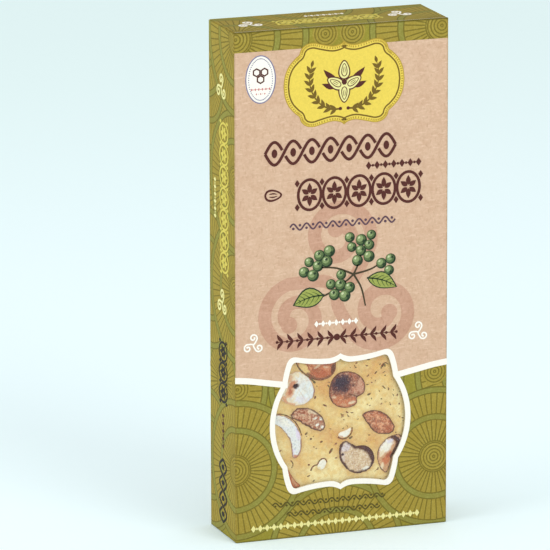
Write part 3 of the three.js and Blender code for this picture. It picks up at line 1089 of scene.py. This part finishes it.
NUTS = (
    Nut("almond_upper", "almond",
        ((-17.5, 66.6), (-15.2, 62.4), (-12.6, 60.0), (-9.4, 58.3), (-6.0, 58.2), (-3.2, 59.6), (-1.7, 62.4),
         (-2.2, 66.4), (-6.0, 69.3), (-12.4, 69.4)),
        ORANGE, UMBER, 0.42, (
            ("blotch", 0.45, 3, RUST),
            ("blotch", 0.7, 8, PALE_ORANGE, 0.7),
            ("grain", 158, SKIN, 3, 0.45),
            ("dab", -6.4, 60.8, 4.2, 1.5, 14, RUST, 0.7),
            ("dab", -9.2, 63.6, 1.6, 0.5, 30, CREAM_FLESH, 0.6),
            ("dab", -6.0, 63.2, 1.2, 0.4, -10, CREAM_FLESH, 0.5),
            ("dab", -14.4, 64.0, 4.0, 1.3, -56, HONEY),
            ("dab", -2.9, 62.4, 2.6, 0.9, 74, UMBER, 0.9),
            ("line", ((-13.4, 65.4), (-12.0, 62.6), (-9.8, 59.4)), 0.35, SKIN, 0.7),
            ("line", ((-12.8, 61.4), (-10.2, 59.4), (-7.2, 58.8), (-4.2, 59.7)), 0.8, UMBER, 0.7)),
        rise=0.5, rough=0.22),
    Nut("hazelnut_pale", "pale_nut",
        ((-19.6, 62.0), (-16.4, 62.4), (-12.8, 60.2), (-10.4, 57.0), (-9.9, 53.4), (-12.2, 50.6),
         (-15.6, 49.4), (-19.2, 49.9), (-22.4, 51.6), (-24.0, 54.6), (-22.6, 57.6), (-21.0, 60.2)),
        CREAM_FLESH, TAN, 0.25, (
            ("dab", -14.0, 55.4, 6.2, 6.0, 80, GREY_FLESH),
            ("dab", -12.6, 55.0, 2.6, 3.6, 0, srgb(224, 228, 226), 0.9),
            ("dab", -14.6, 51.6, 3.6, 1.3, -8, LILAC_FLESH, 0.6),
            ("grain", 62, CREAM_FLESH, 9, 0.35),
            ("grain", 118, srgb(206, 196, 186), 14, 0.3),
            ("dab", -19.8, 60.0, 1.8, 1.1, 50, PALE_ORANGE, 0.6),
            ("dab", -19.7, 55.0, 2.7, 1.8, 52, PALE_ORANGE, 0.85),
            ("dab", -21.7, 52.6, 1.8, 0.7, -66, PALE_ORANGE, 0.8),
            ("dab", -18.6, 57.7, 2.3, 1.3, 38, ORANGE, 0.85),
            ("dab", -19.6, 54.9, 1.4, 0.8, 50, RUST, 0.75),
            ("dab", -17.4, 57.1, 1.5, 1.2, 20, UMBER),
            ("dab", -17.3, 57.0, 0.9, 0.8, 0, PLUM),
            ("line", ((-16.2, 57.8), (-13.4, 58.9), (-11.8, 58.4)), 0.25, TAN, 0.4),
            ("line", ((-16.6, 55.8), (-14.8, 53.2), (-13.8, 51.0)), 0.25, TAN, 0.35),
            ("line", ((-11.0, 58.2), (-10.1, 55.4), (-10.5, 52.2)), 0.8, SKIN, 0.9),
            ("line", ((-22.6, 53.0), (-20.6, 51.0), (-18.0, 50.2)), 0.7, PALE_ORANGE, 0.8)),
        rise=0.55, rough=0.2, ragged=0.26, pits=((-17.4, 57.0, 1.1, 0.9), (-19.6, 55.2, 1.3, 0.2))),
    Nut("hazelnut_dark", "dark_nut",
        ((-4.3, 55.0), (-3.0, 58.6), (0.2, 60.7), (4.2, 60.6), (7.6, 58.8), (9.7, 55.6), (9.3, 52.0),
         (6.7, 50.4), (6.4, 48.2), (3.8, 46.9), (0.2, 47.2), (-2.8, 48.9), (-4.4, 51.8)),
        BROWN_PINK, UMBER, 0.5, (
            ("blotch", 0.5, 4, srgb(194, 136, 108)),
            ("blotch", 0.7, 6, srgb(136, 76, 52), 0.7),
            ("dab", 8.0, 54.8, 1.3, 3.4, 6, srgb(208, 158, 130), 0.8),
            ("dab", 6.2, 53.4, 1.6, 1.0, 60, srgb(208, 158, 130), 0.7),
            ("dab", 1.0, 49.9, 5.4, 2.7, -10, ORANGE, 0.9),
            ("blotch", 0.9, 15, RUST, 0.5),
            # Painted highlights: small pale glints in spots over the nut.
            ("fleck", 0.3, 0.5, CREAM_FLESH, 0.4),
            ("dab", 2.6, 51.2, 2.4, 0.9, 20, SKIN, 0.85),
            # Painted highlights: pale cream and tan glints on the lower part of the nut.
            ("dab", 4.4, 48.9, 1.5, 0.6, 12, CREAM_FLESH, 0.8),
            ("dab", -2.6, 51.4, 1.0, 0.5, 0, CREAM_FLESH, 0.6),
            ("dab", 1.0, 48.4, 1.4, 0.45, -5, TAN, 0.8),
            ("dab", 0.6, 56.0, 4.9, 4.3, 15, srgb(116, 64, 54), 0.9),
            ("dab", 0.5, 56.5, 3.9, 3.5, 20, PLUM, 0.9),
            ("dab", 0.3, 57.0, 2.9, 2.4, 30, srgb(60, 38, 54)),
            ("dab", 1.6, 54.0, 1.6, 1.2, 0, PLUM, 0.8),
            ("line", ((6.9, 50.6), (5.0, 51.6), (3.2, 52.2)), 0.5, UMBER, 0.7)),
        rise=0.55, rough=0.26, pits=((0.8, 55.4, 2.6, 0.3),)),
    Nut("almond_left", "almond",
        ((-19.3, 46.4), (-17.2, 48.3), (-13.4, 48.5), (-9.6, 46.9), (-6.9, 44.5), (-5.8, 41.6), (-6.6, 39.2),
         (-9.4, 39.3), (-12.4, 40.9), (-15.8, 43.1), (-18.4, 44.6)),
        srgb(188, 126, 94), UMBER, 0.6, (
            ("blotch", 0.55, 5, srgb(164, 92, 64), 0.9),
            ("blotch", 0.8, 7, srgb(222, 184, 150), 0.7),
            ("dab", -14.8, 43.8, 3.0, 0.8, -35, RUST, 0.6),
            ("dab", -10.4, 46.5, 2.6, 0.7, -24, CREAM_FLESH, 0.8),
            ("dab", -8.4, 42.4, 2.4, 1.8, -50, BROWN_PINK, 0.6),
            ("fleck", 0.28, 0.48, CREAM_FLESH, 0.7),
            ("dab", -7.5, 43.7, 0.9, 0.6, 0, WHITE_FLESH),
            ("dab", -9.1, 41.6, 0.9, 0.5, 20, WHITE_FLESH),
            ("dab", -7.1, 40.6, 0.9, 0.6, -50, WHITE_FLESH),
            ("dab", -9.9, 44.2, 0.9, 0.5, 20, WHITE_FLESH, 0.9),
            ("fleck", -0.28, -0.5, UMBER, 0.8)),
        rough=0.42, ragged=0.34),
    Nut("almond_right", "almond",
        ((8.5, 43.7), (10.3, 44.9), (14.0, 45.1), (17.8, 43.4), (20.4, 40.3), (21.4, 37.7), (20.2, 35.8),
         (17.2, 35.5), (13.4, 36.6), (11.2, 39.3), (9.5, 41.6)),
        srgb(186, 106, 70), UMBER, 0.62, (
            ("blotch", 0.5, 9, srgb(160, 82, 52)),
            ("grain", 150, PALE_ORANGE, 33, 0.55),
            ("blotch", 0.9, 12, srgb(224, 162, 122)),
            ("blotch", 1.1, 19, srgb(136, 74, 48), 0.65),
            ("fleck", 0.25, 0.5, CREAM_FLESH, 0.35),
            ("dab", 18.8, 37.8, 2.2, 1.4, -40, RUST, 0.6),
            ("line", ((10.4, 42.8), (14.0, 41.8), (17.0, 39.8), (19.4, 37.2)), 0.35, SKIN, 0.55)),
        rise=0.5, rough=0.26, ragged=0.16),
    Nut("slice_left", "pale_nut",
        ((-26.2, 46.8), (-22.8, 46.5), (-19.6, 44.9), (-16.9, 41.8), (-15.3, 38.0), (-14.9, 34.4),
         (-15.6, 31.2), (-17.3, 29.7), (-18.8, 30.4), (-19.1, 33.4), (-19.7, 36.6), (-21.7, 39.8),
         (-24.0, 42.2), (-26.4, 43.8)),
        GREY_FLESH, SKIN, 0.36, (
            ("blotch", 0.4, 4, LILAC_FLESH, 0.9),
            ("dab", -22.4, 44.2, 3.8, 1.4, -40, WHITE_FLESH, 0.8),
            ("dab", -16.4, 38.4, 2.4, 0.9, 100, srgb(222, 202, 222), 0.7),
            ("dab", -17.2, 30.3, 1.4, 0.8, -30, ORANGE, 0.9),
            ("line", ((-15.4, 36.2), (-15.4, 33.0), (-16.6, 30.6)), 0.5, SKIN, 0.8),
            ("fleck", 0.3, 0.5, srgb(164, 172, 180), 0.6)),
        rise=0.3, shoulder=1.2, rough=0.1),
    Nut("hazelnut_cut", "hazelnut",
        ((-0.8, 30.6), (-0.2, 33.2), (1.8, 34.6), (4.2, 33.6), (6.4, 32.3), (9.2, 32.3), (11.6, 31.2),
         (13.2, 28.6), (13.5, 25.8), (12.2, 23.2), (9.4, 21.8), (6.6, 21.5), (3.4, 22.8), (1.2, 24.9),
         (-0.3, 27.8)),
        BEIGE_FLESH, srgb(80, 42, 34), 0.9, (
            ("blotch", 0.6, 3, CREAM_FLESH, 0.6),
            ("blotch", 0.8, 8, srgb(190, 154, 122), 0.6),
            ("dab", 2.0, 31.9, 2.3, 1.5, 30, srgb(212, 198, 204), 0.85),
            ("dab", 1.0, 27.8, 0.9, 2.2, -20, srgb(214, 196, 190), 0.6),
            ("fleck", 0.2, 0.45, WHITE_FLESH, 0.5),
            ("fleck", -0.25, -0.5, srgb(168, 122, 92), 0.6),
            ("dab", 9.6, 23.4, 1.7, 0.7, 20, WHITE_FLESH, 0.9),
            ("dab", 0.9, 29.4, 0.6, 0.5, 0, PLUM),
            ("line", ((0.6, 33.2), (-0.2, 30.6), (0.4, 27.4), (2.2, 24.4)), 0.9, UMBER, 0.9),
            ("line", ((5.6, 32.2), (8.8, 31.4), (11.2, 29.8), (12.5, 27.0)), 1.9, UMBER),
            ("line", ((9.6, 31.4), (12.0, 29.6), (12.9, 27.0), (12.4, 24.4)), 1.2, PLUM, 0.95),
            ("line", ((11.9, 23.4), (9.6, 22.1), (7.0, 21.8)), 0.9, PLUM, 0.85)),
        rise=0.35, rough=0.18, ragged=0.14, pits=((0.8, 29.3, 0.6, 0.3),)),
    Nut("hazelnut_edge", "hazelnut",
        ((14.3, 27.8), (15.2, 31.0), (17.6, 33.6), (20.4, 34.9), (23.4, 35.0), (24.9, 32.2), (23.0, 28.8),
         (20.6, 27.2), (19.8, 24.4), (18.2, 20.9), (16.2, 22.0), (14.9, 24.6)),
        TAN, UMBER, 0.42, (
            ("dab", 17.8, 31.0, 3.4, 2.0, 45, WHITE_FLESH),
            ("dab", 19.6, 33.0, 1.6, 0.9, 30, LILAC_FLESH, 0.9),
            ("dab", 16.2, 28.4, 1.4, 0.9, 60, CREAM_FLESH, 0.9),
            ("dab", 17.8, 25.8, 2.4, 1.7, 60, ORANGE),
            ("dab", 16.4, 23.6, 1.8, 0.7, 80, CREAM_FLESH, 0.8),
            ("dab", 19.0, 27.8, 1.6, 0.9, 40, RUST, 0.95),
            ("dab", 23.8, 32.8, 1.2, 1.2, 0, srgb(236, 196, 192), 0.95),
            ("line", ((20.2, 34.4), (22.0, 33.2), (22.2, 31.0), (21.0, 28.6), (20.0, 27.0)), 1.4, UMBER),
            ("line", ((21.4, 34.4), (22.8, 33.0), (22.6, 30.6), (21.4, 28.4)), 0.8, PLUM, 0.9)),
        rough=0.2, ragged=0.14),
    Nut("chip_middle", "pale_nut",
        ((-0.7, 36.4), (-0.8, 37.6), (0.8, 38.3), (2.4, 38.8), (4.0, 39.5), (4.3, 38.3), (3.4, 36.6),
         (1.8, 35.7), (0.3, 35.8)),
        WHITE_FLESH, CREAM_FLESH, 0.3, (("dab", 0.2, 36.2, 1.2, 0.5, -20, ORANGE, 0.7),),
        rise=0.35, shoulder=1.0),
    Nut("chip_lower", "pale_nut",
        ((-9.1, 26.0), (-7.9, 27.9), (-6.5, 28.4), (-5.4, 27.3), (-5.8, 25.4), (-7.2, 24.3), (-8.7, 24.8)),
        WHITE_FLESH, CREAM_FLESH, 0.3, (("dab", -8.4, 25.0, 1.0, 0.6, 30, HONEY_PALE, 0.8),),
        rise=0.35, shoulder=1.0),
    Nut("almond_corner", "almond",
        ((-21.8, 25.4), (-20.4, 25.9), (-19.0, 23.6), (-17.2, 21.0), (-15.6, 19.4), (-16.5, 18.2),
         (-18.7, 18.4), (-20.6, 21.4), (-22.1, 24.0)),
        ORANGE, SKIN, 0.4, (
            ("grain", 122, RUST, 41),
            ("dab", -18.0, 20.6, 2.6, 0.6, -60, TAN, 0.7)),
        rise=0.3, shoulder=1.0),
)


def nut_piece(nut, seed):
    """A closed nut: its cut face domed and rough, its sides running back into the nougat."""
    rim = np.array(nut.outline)
    (low_x, low_z), (high_x, high_z) = rim.min(0), rim.max(0)
    rows = enumerate(np.arange(low_z, high_z, NUT_GRID))
    within = np.array([(x + NUT_GRID / 2 * (k % 2), z) for k, z in rows
                       for x in np.arange(low_x, high_x, NUT_GRID)])
    within = within[distance_to(within, nut.outline, loop=True) > NUT_GRID * 0.6]
    edges = [(i, (i + 1) % len(rim)) for i in range(len(rim))]
    placed, _, cells, *_ = delaunay_2d_cdt([Vector(p) for p in (*rim, *within)], edges, [], 1, 1e-5)
    points = np.array(placed)
    inner = np.maximum(distance_to(points, nut.outline, loop=True), 0)
    share = np.clip(inner / nut.shoulder, 0, 1)
    face = Face(points, nut.flesh, seed)
    height = nut.rise * np.sqrt(1 - (1 - share) ** 2) + nut.rough * share * face.wander
    for x, z, radius, depth in nut.pits:
        height -= depth * (1 - smooth_step(gap_to(points, x, z), 0.3 * radius, 1.1 * radius))
    vertices = [(x, FACE_Y + 0.12 - h, z) for (x, z), h in zip(points, np.minimum(height, NUT_TOP))]
    vertices += [(x, NUT_BASE_Y, z) for x, z in points]
    made = piece(nut.name + "_kernel", vertices, closed(upward(cells, placed), len(points)),
                 [painted("flesh_" + nut.name, 0.5, 0.15, 1.3)], nut.slot, nut.name, smooth=True)
    for kind, *values in nut.marks:
        getattr(face, kind)(*values)
    width = nut.skin_width * (1 + 0.5 * face.wander + 0.3 * face.fine)
    face.lay(0.9 * (1 - smooth_step(inner, width * 0.7, width * 1.4)), nut.skin)
    face.paint(made.data, scaled(nut.skin, 0.8))


# ---------------------------------------------------------------- nougat

# Places in the nougat that are paler, or deeper below zero: (x, z, radius, strength).
NOUGAT_TONES = (
    (-4.0, 22.0, 9.0, 1.0), (-9.0, 24.0, 5.0, 0.7), (21.0, 46.0, 8.0, 0.6), (9.0, 46.5, 6.0, 0.55),
    (-22.0, 35.0, 5.0, 0.3), (12.0, 20.0, 6.0, 0.6), (-6.5, 55.5, 4.5, -0.9), (-3.0, 36.5, 5.0, -0.6),
    (1.0, 34.0, 5.0, -0.8), (15.5, 62.0, 6.0, -0.5), (12.5, 33.5, 4.5, -0.7), (-2.0, 45.5, 4.0, -0.4),
    (-14.0, 27.0, 5.0, -0.35), (5.0, 63.5, 5.0, -0.4), (-18.5, 24.0, 3.5, 0.4), (8.0, 40.0, 4.0, 0.3),
)
BAR_EDGE = 1.5
NOUGAT_GRID = 0.28
POCKET = 2.4  # how deep the nougat dips behind a nut


def grid_lines(start, end, middle, reach):
    """Places of grid lines across the bar: rounded ends, and fine where the window shows it."""
    rounded = BAR_EDGE * (1 - np.cos(np.radians((0, 22, 45, 67, 90))))
    fine = np.arange(middle - reach, middle + reach, NOUGAT_GRID)
    before = np.linspace(start + BAR_EDGE, fine[0], 6)[1:-1]
    after = np.linspace(fine[-1], end - BAR_EDGE, 12)[1:-1]
    return np.concatenate([start + rounded, before, fine, after, (end - rounded)[::-1]])


def nougat_piece():
    """The bar, with a fine cut face where the window shows it and a pocket behind each nut."""
    low, high = NOUGAT_LOW, NOUGAT_HIGH
    reach_x, reach_z = WINDOW_HALF_WIDTH + 3, WINDOW_HALF_HEIGHT + 3
    points, faces = grid(grid_lines(low.x, high.x, WINDOW_U, reach_x),
                         grid_lines(low.z, high.z, WINDOW_V, reach_z))
    face = Face(points, HONEY, 70)
    tone = 0.55 * field(points, 0.2, 5) + 0.4 * face.wander + 0.2 * face.fine
    for x, z, radius, strength in NOUGAT_TONES:
        tone += strength * np.exp(-((gap_to(points, x, z) / radius) ** 2) * 1.4)
    face.lay(tone, HONEY_PALE)
    face.lay(-tone, HONEY_DEEP)
    face.blotch(0.5, 31, srgb(228, 184, 100), 0.45)
    inner = np.max([distance_to(points, nut.outline, loop=True) for nut in NUTS], axis=0)
    # Painted shade: a darker orange-brown ring in the nougat round each nut.
    face.lay(0.45 * np.exp(np.minimum(inner, 0) / 0.7), srgb(190, 140, 84))
    lean = BAR_EDGE - np.clip(inset(points, low, high), 0, BAR_EDGE)
    depth = low.y + BAR_EDGE - np.sqrt(np.maximum(BAR_EDGE ** 2 - lean ** 2, 0))
    depth += POCKET * smooth_step(inner, 0.4, 0.9)
    shown = (np.abs(points[:, 0] - WINDOW_U) < reach_x) & (np.abs(points[:, 1] - WINDOW_V) < reach_z)
    depth += np.where(shown, 0.1 * field(points, 0.28, 3) + 0.05 * face.wander, 0)
    following = dict(open_edges(faces))
    rim = list(following)
    number = {a: len(points) + k for k, a in enumerate(rim)}
    vertices = [(x, y, z) for (x, z), y in zip(points, depth)]
    vertices += [(points[a][0], high.y, points[a][1]) for a in rim]
    faces += [(a, number[a], number[b], b) for a, b in following.items()]
    back = [rim[0]]
    while following[back[-1]] != rim[0]:
        back.append(following[back[-1]])
    faces.append(tuple(number[a] for a in reversed(back)))
    made = piece("nougat_bar", vertices, faces, [painted("nougat_face", 0.4, 0.35, 1.1)],
                 "nougat", "nougat", smooth=True)
    face.paint(made.data, HONEY)


# ---------------------------------------------------------------- specks and skins in the nougat

FLECKS = (  # x, z, length, width, turn
    (-3.7, 31.2, 2.4, 1.0, 55), (4.1, 35.5, 1.6, 0.9, 30), (-11.5, 36.5, 1.0, 0.9, 0),
    (-7.4, 35.0, 1.1, 0.8, 20), (11.2, 51.3, 1.5, 0.9, 20), (0.9, 44.3, 1.2, 0.5, 5),
    (4.6, 44.9, 1.3, 0.45, -8), (-6.0, 48.6, 1.7, 0.7, -25), (-12.3, 26.7, 0.9, 0.8, 0),
    (13.8, 59.2, 1.5, 0.6, 45), (17.0, 53.4, 2.0, 0.5, -45), (10.6, 55.0, 1.1, 0.5, 0),
    (-9.8, 52.0, 1.2, 0.8, 70), (15.5, 18.5, 1.2, 0.6, 30), (-13.3, 38.6, 1.3, 0.8, 40),
    (16.8, 61.8, 1.9, 0.5, 60), (11.0, 64.4, 1.3, 0.6, 0), (6.3, 63.5, 1.0, 0.5, 30),
)
SKINS = (  # a thin edge of skin: its points, and its radius at the start and end
    (((-17.2, 66.2), (-16.4, 64.0), (-15.0, 62.2), (-13.4, 61.0), (-11.4, 59.2), (-9.8, 57.4)), 0.2, 0.36),
    (((-13.6, 61.0), (-12.2, 60.1), (-10.8, 58.7)), 0.4, 0.5),
    (((-11.5, 24.4), (-11.0, 25.6), (-10.0, 26.3), (-9.0, 26.5), (-8.3, 27.7), (-7.0, 28.6), (-5.8, 28.3),
      (-5.2, 27.0)), 0.3, 0.2),
    (((-19.4, 29.0), (-18.7, 28.2), (-18.5, 27.2), (-19.0, 26.2)), 0.25, 0.2),
    (((-0.9, 36.2), (0.2, 35.5), (1.8, 35.3), (3.5, 36.2), (4.5, 37.8), (4.6, 39.4)), 0.26, 0.26),
    (((-26.2, 47.1), (-22.7, 46.8), (-19.4, 45.2), (-16.6, 42.0), (-15.0, 38.1)), 0.2, 0.22),
    (((15.9, 60.6), (16.4, 62.0), (17.6, 62.6), (18.6, 62.0)), 0.22, 0.16),
)
SPECK_COUNT = 85


class Bits:
    """Small closed threads and lumps lying in the nougat's face, gathered into one piece."""

    def __init__(self):
        self.vertices, self.faces = [], []

    def tube(self, line, radii, sides=8):
        base, count = len(self.vertices), len(line)
        for i, p in enumerate(line):
            side = (line[min(i + 1, count - 1)] - line[max(i - 1, 0)]).normalized().orthogonal()
            for a in np.arange(sides) * 2 * pi / sides:
                spot = p + side * radii[i] * cos(a)
                self.vertices.append((spot.x, FACE_Y - 0.6 * radii[i] * sin(a), spot.y))
        for i in range(count - 1):
            for k in range(sides):
                a, b = base + i * sides + k, base + i * sides + (k + 1) % sides
                self.faces.append((a, b, b + sides, a + sides))
        self.faces.append(tuple(base + k for k in reversed(range(sides))))
        self.faces.append(tuple(base + (count - 1) * sides + k for k in range(sides)))

    def fleck(self, x, z, length, width, turn, bend=0.0, blunt=0.5):
        """A short spindle; bend is how far its middle lies to one side, as a share of its length."""
        way = heading(turn)
        side = way.orthogonal() * bend
        line = [Vector((x, z)) + (way * (t - 0.5) + side * sin(pi * t)) * length
                for t in (0, 0.2, 0.5, 0.8, 1)]
        self.tube(line, [width * s for s in (0.3 * blunt, 0.42, 0.46, 0.6 - 0.4 * blunt, 0.1)], 7)


def specks_piece():
    bits = Bits()
    for fleck in FLECKS:
        bits.fleck(*fleck)
    for points, start, end in SKINS:
        line = curve(points, 5)
        swelling = 1 + 0.25 * np.sin(np.arange(len(line)) * 1.9)
        bits.tube(line, np.linspace(start, end, len(line)) * swelling)
    spread = random.Random(11)
    placed = 0
    while placed < SPECK_COUNT:
        x = WINDOW_U + spread.uniform(-26, 26)
        z = WINDOW_V + spread.uniform(-24, 24)
        # They lie thicker towards the upper right.
        if spread.random() > 0.35 + 0.65 * smooth_step(x + 0.7 * (z - WINDOW_V), -18, 26):
            continue
        spot = np.array([(x, z)])
        if max(distance_to(spot, nut.outline, loop=True)[0] for nut in NUTS) > -0.4:
            continue
        bits.fleck(x, z, spread.uniform(0.4, 1.3), spread.uniform(0.25, 0.6), spread.uniform(0, 180),
                   spread.uniform(-0.25, 0.25), spread.uniform(0.2, 1.0))
        placed += 1
    shader = Shader("speck", 0.6, 0.3)
    patches = shader.noise(0.8, 1.0).step(0.4, 0.6)
    material = shader.finish(shader.mix(patches, srgb(110, 92, 46), srgb(126, 66, 40)), 4.0, 0.05, 2.0)
    piece("nougat_specks", bits.vertices, bits.faces, [material], "dark_nut", smooth=True)


# ---------------------------------------------------------------- film

FILM_HALF = 0.06
FILM_WAVE = 0.04
FILM_ALPHA = 0.03


def film_piece():
    """The clear film behind the window, very slightly wavy."""
    low, high = box_mm("window_film")
    points, faces = grid(np.linspace(low.x, high.x, 46), np.linspace(low.z, high.z, 44))
    wave = FILM_WAVE * field(points, 0.06, 9, 2) * smooth_step(inset(points, low, high), 0, 6)
    middle = (low.y + high.y) / 2 + wave
    vertices = [(x, y + side * FILM_HALF, z) for side in (-1, 1) for (x, z), y in zip(points, middle)]
    shader = Shader("clear_film", 0.1, 0.5)
    haze = shader.mix(shader.noise(0.12, 2.0), srgb(190, 190, 186), srgb(206, 206, 202))
    put(shader.surface.inputs["Base Color"], haze)
    shader.surface.inputs["Alpha"].default_value = FILM_ALPHA
    piece("window_film_sheet", vertices, closed(faces, len(points)), [shader.material], "window_film",
          "window_film", smooth=True)


# ---------------------------------------------------------------- stage, light and camera

CAMERA_TARGET = Vector((0, 0, 95))
CAMERA_AZIMUTH, CAMERA_ELEVATION, CAMERA_ROLL = radians(-19.83), radians(13.67), radians(-0.13)
CAMERA_DISTANCE = 2200
CAMERA_PAN = (-19.6, -0.6)  # to the right and up from the target
FOCAL_PIXELS, IMAGE_PIXELS = 6016, 550
SENSOR = 36
FLOOR_HALF = 6.0  # metres
FLOOR_GLOW = 0.17
SKY_STRENGTH = 0.8
LIGHTS_AIM = Vector((0, 0, 0.09))  # metres


def add(thing):
    bpy.context.scene.collection.objects.link(thing)
    return thing


def camera():
    level = cos(CAMERA_ELEVATION)
    back = Vector((sin(CAMERA_AZIMUTH) * level, -cos(CAMERA_AZIMUTH) * level, sin(CAMERA_ELEVATION)))
    right = Vector((0, 0, 1)).cross(back).normalized()
    up = back.cross(right)
    data = bpy.data.cameras.new("camera")
    data.sensor_width = SENSOR
    data.lens = FOCAL_PIXELS / IMAGE_PIXELS * SENSOR
    data.clip_start, data.clip_end = 0.1, 20
    made = add(bpy.data.objects.new("camera", data))
    place = CAMERA_TARGET + right * CAMERA_PAN[0] + up * CAMERA_PAN[1] + back * CAMERA_DISTANCE
    rolled = (right * cos(CAMERA_ROLL) + up * sin(CAMERA_ROLL),
              up * cos(CAMERA_ROLL) - right * sin(CAMERA_ROLL), back)
    made.matrix_world = Matrix.Translation(place * MM) @ Matrix(rolled).transposed().to_4x4()
    bpy.context.scene.camera = made


def floor():
    """A pale floor that fills the view, a little darker far behind the pack."""
    shader = Shader("floor", 0.9)
    far = shader.parts(shader.place())[1].step(300, 900)
    colour = shader.mix(far, srgb(230, 243, 246), srgb(225, 240, 240))
    put(shader.surface.inputs["Base Color"], colour)
    put(shader.surface.inputs["Emission Color"], colour)
    shader.surface.inputs["Emission Strength"].default_value = FLOOR_GLOW
    mesh = bpy.data.meshes.new("floor")
    corners = [(x * FLOOR_HALF, y * FLOOR_HALF, 0) for x, y in ((-1, -1), (1, -1), (1, 1), (-1, 1))]
    mesh.from_pydata(corners, [], [(0, 1, 2, 3)])
    mesh.materials.append(shader.material)
    made = add(bpy.data.objects.new("floor", mesh))


def area_light(name, place, size, power):
    data = bpy.data.lights.new(name, "AREA")
    data.shape = "DISK"
    data.size = size
    data.energy = power
    made = add(bpy.data.objects.new(name, data))
    made.location = place
    made.rotation_mode = "QUATERNION"
    made.rotation_quaternion = (LIGHTS_AIM - Vector(place)).to_track_quat("-Z", "Y")


def lights():
    world = bpy.data.worlds.new("studio")
    world.use_nodes = True
    sky = world.node_tree.nodes["Background"]
    sky.inputs["Color"].default_value = (*srgb(246, 252, 252), 1)
    sky.inputs["Strength"].default_value = SKY_STRENGTH
    bpy.context.scene.world = world
    area_light("key", (0.5, -1.3, 0.9), 0.9, 8)
    area_light("left_fill", (-1.4, -0.3, 0.5), 1.0, 8)
    bpy.context.scene.view_settings.view_transform = "Standard"


# ---------------------------------------------------------------- the whole

camera()
carton_piece()
for name, panel, draw in PRINTS:
    made = Print(name, panel)
    draw(made)
    made.make()
nougat_piece()
for number, nut in enumerate(NUTS):
    nut_piece(nut, number)
specks_piece()
film_piece()
floor()
lights()
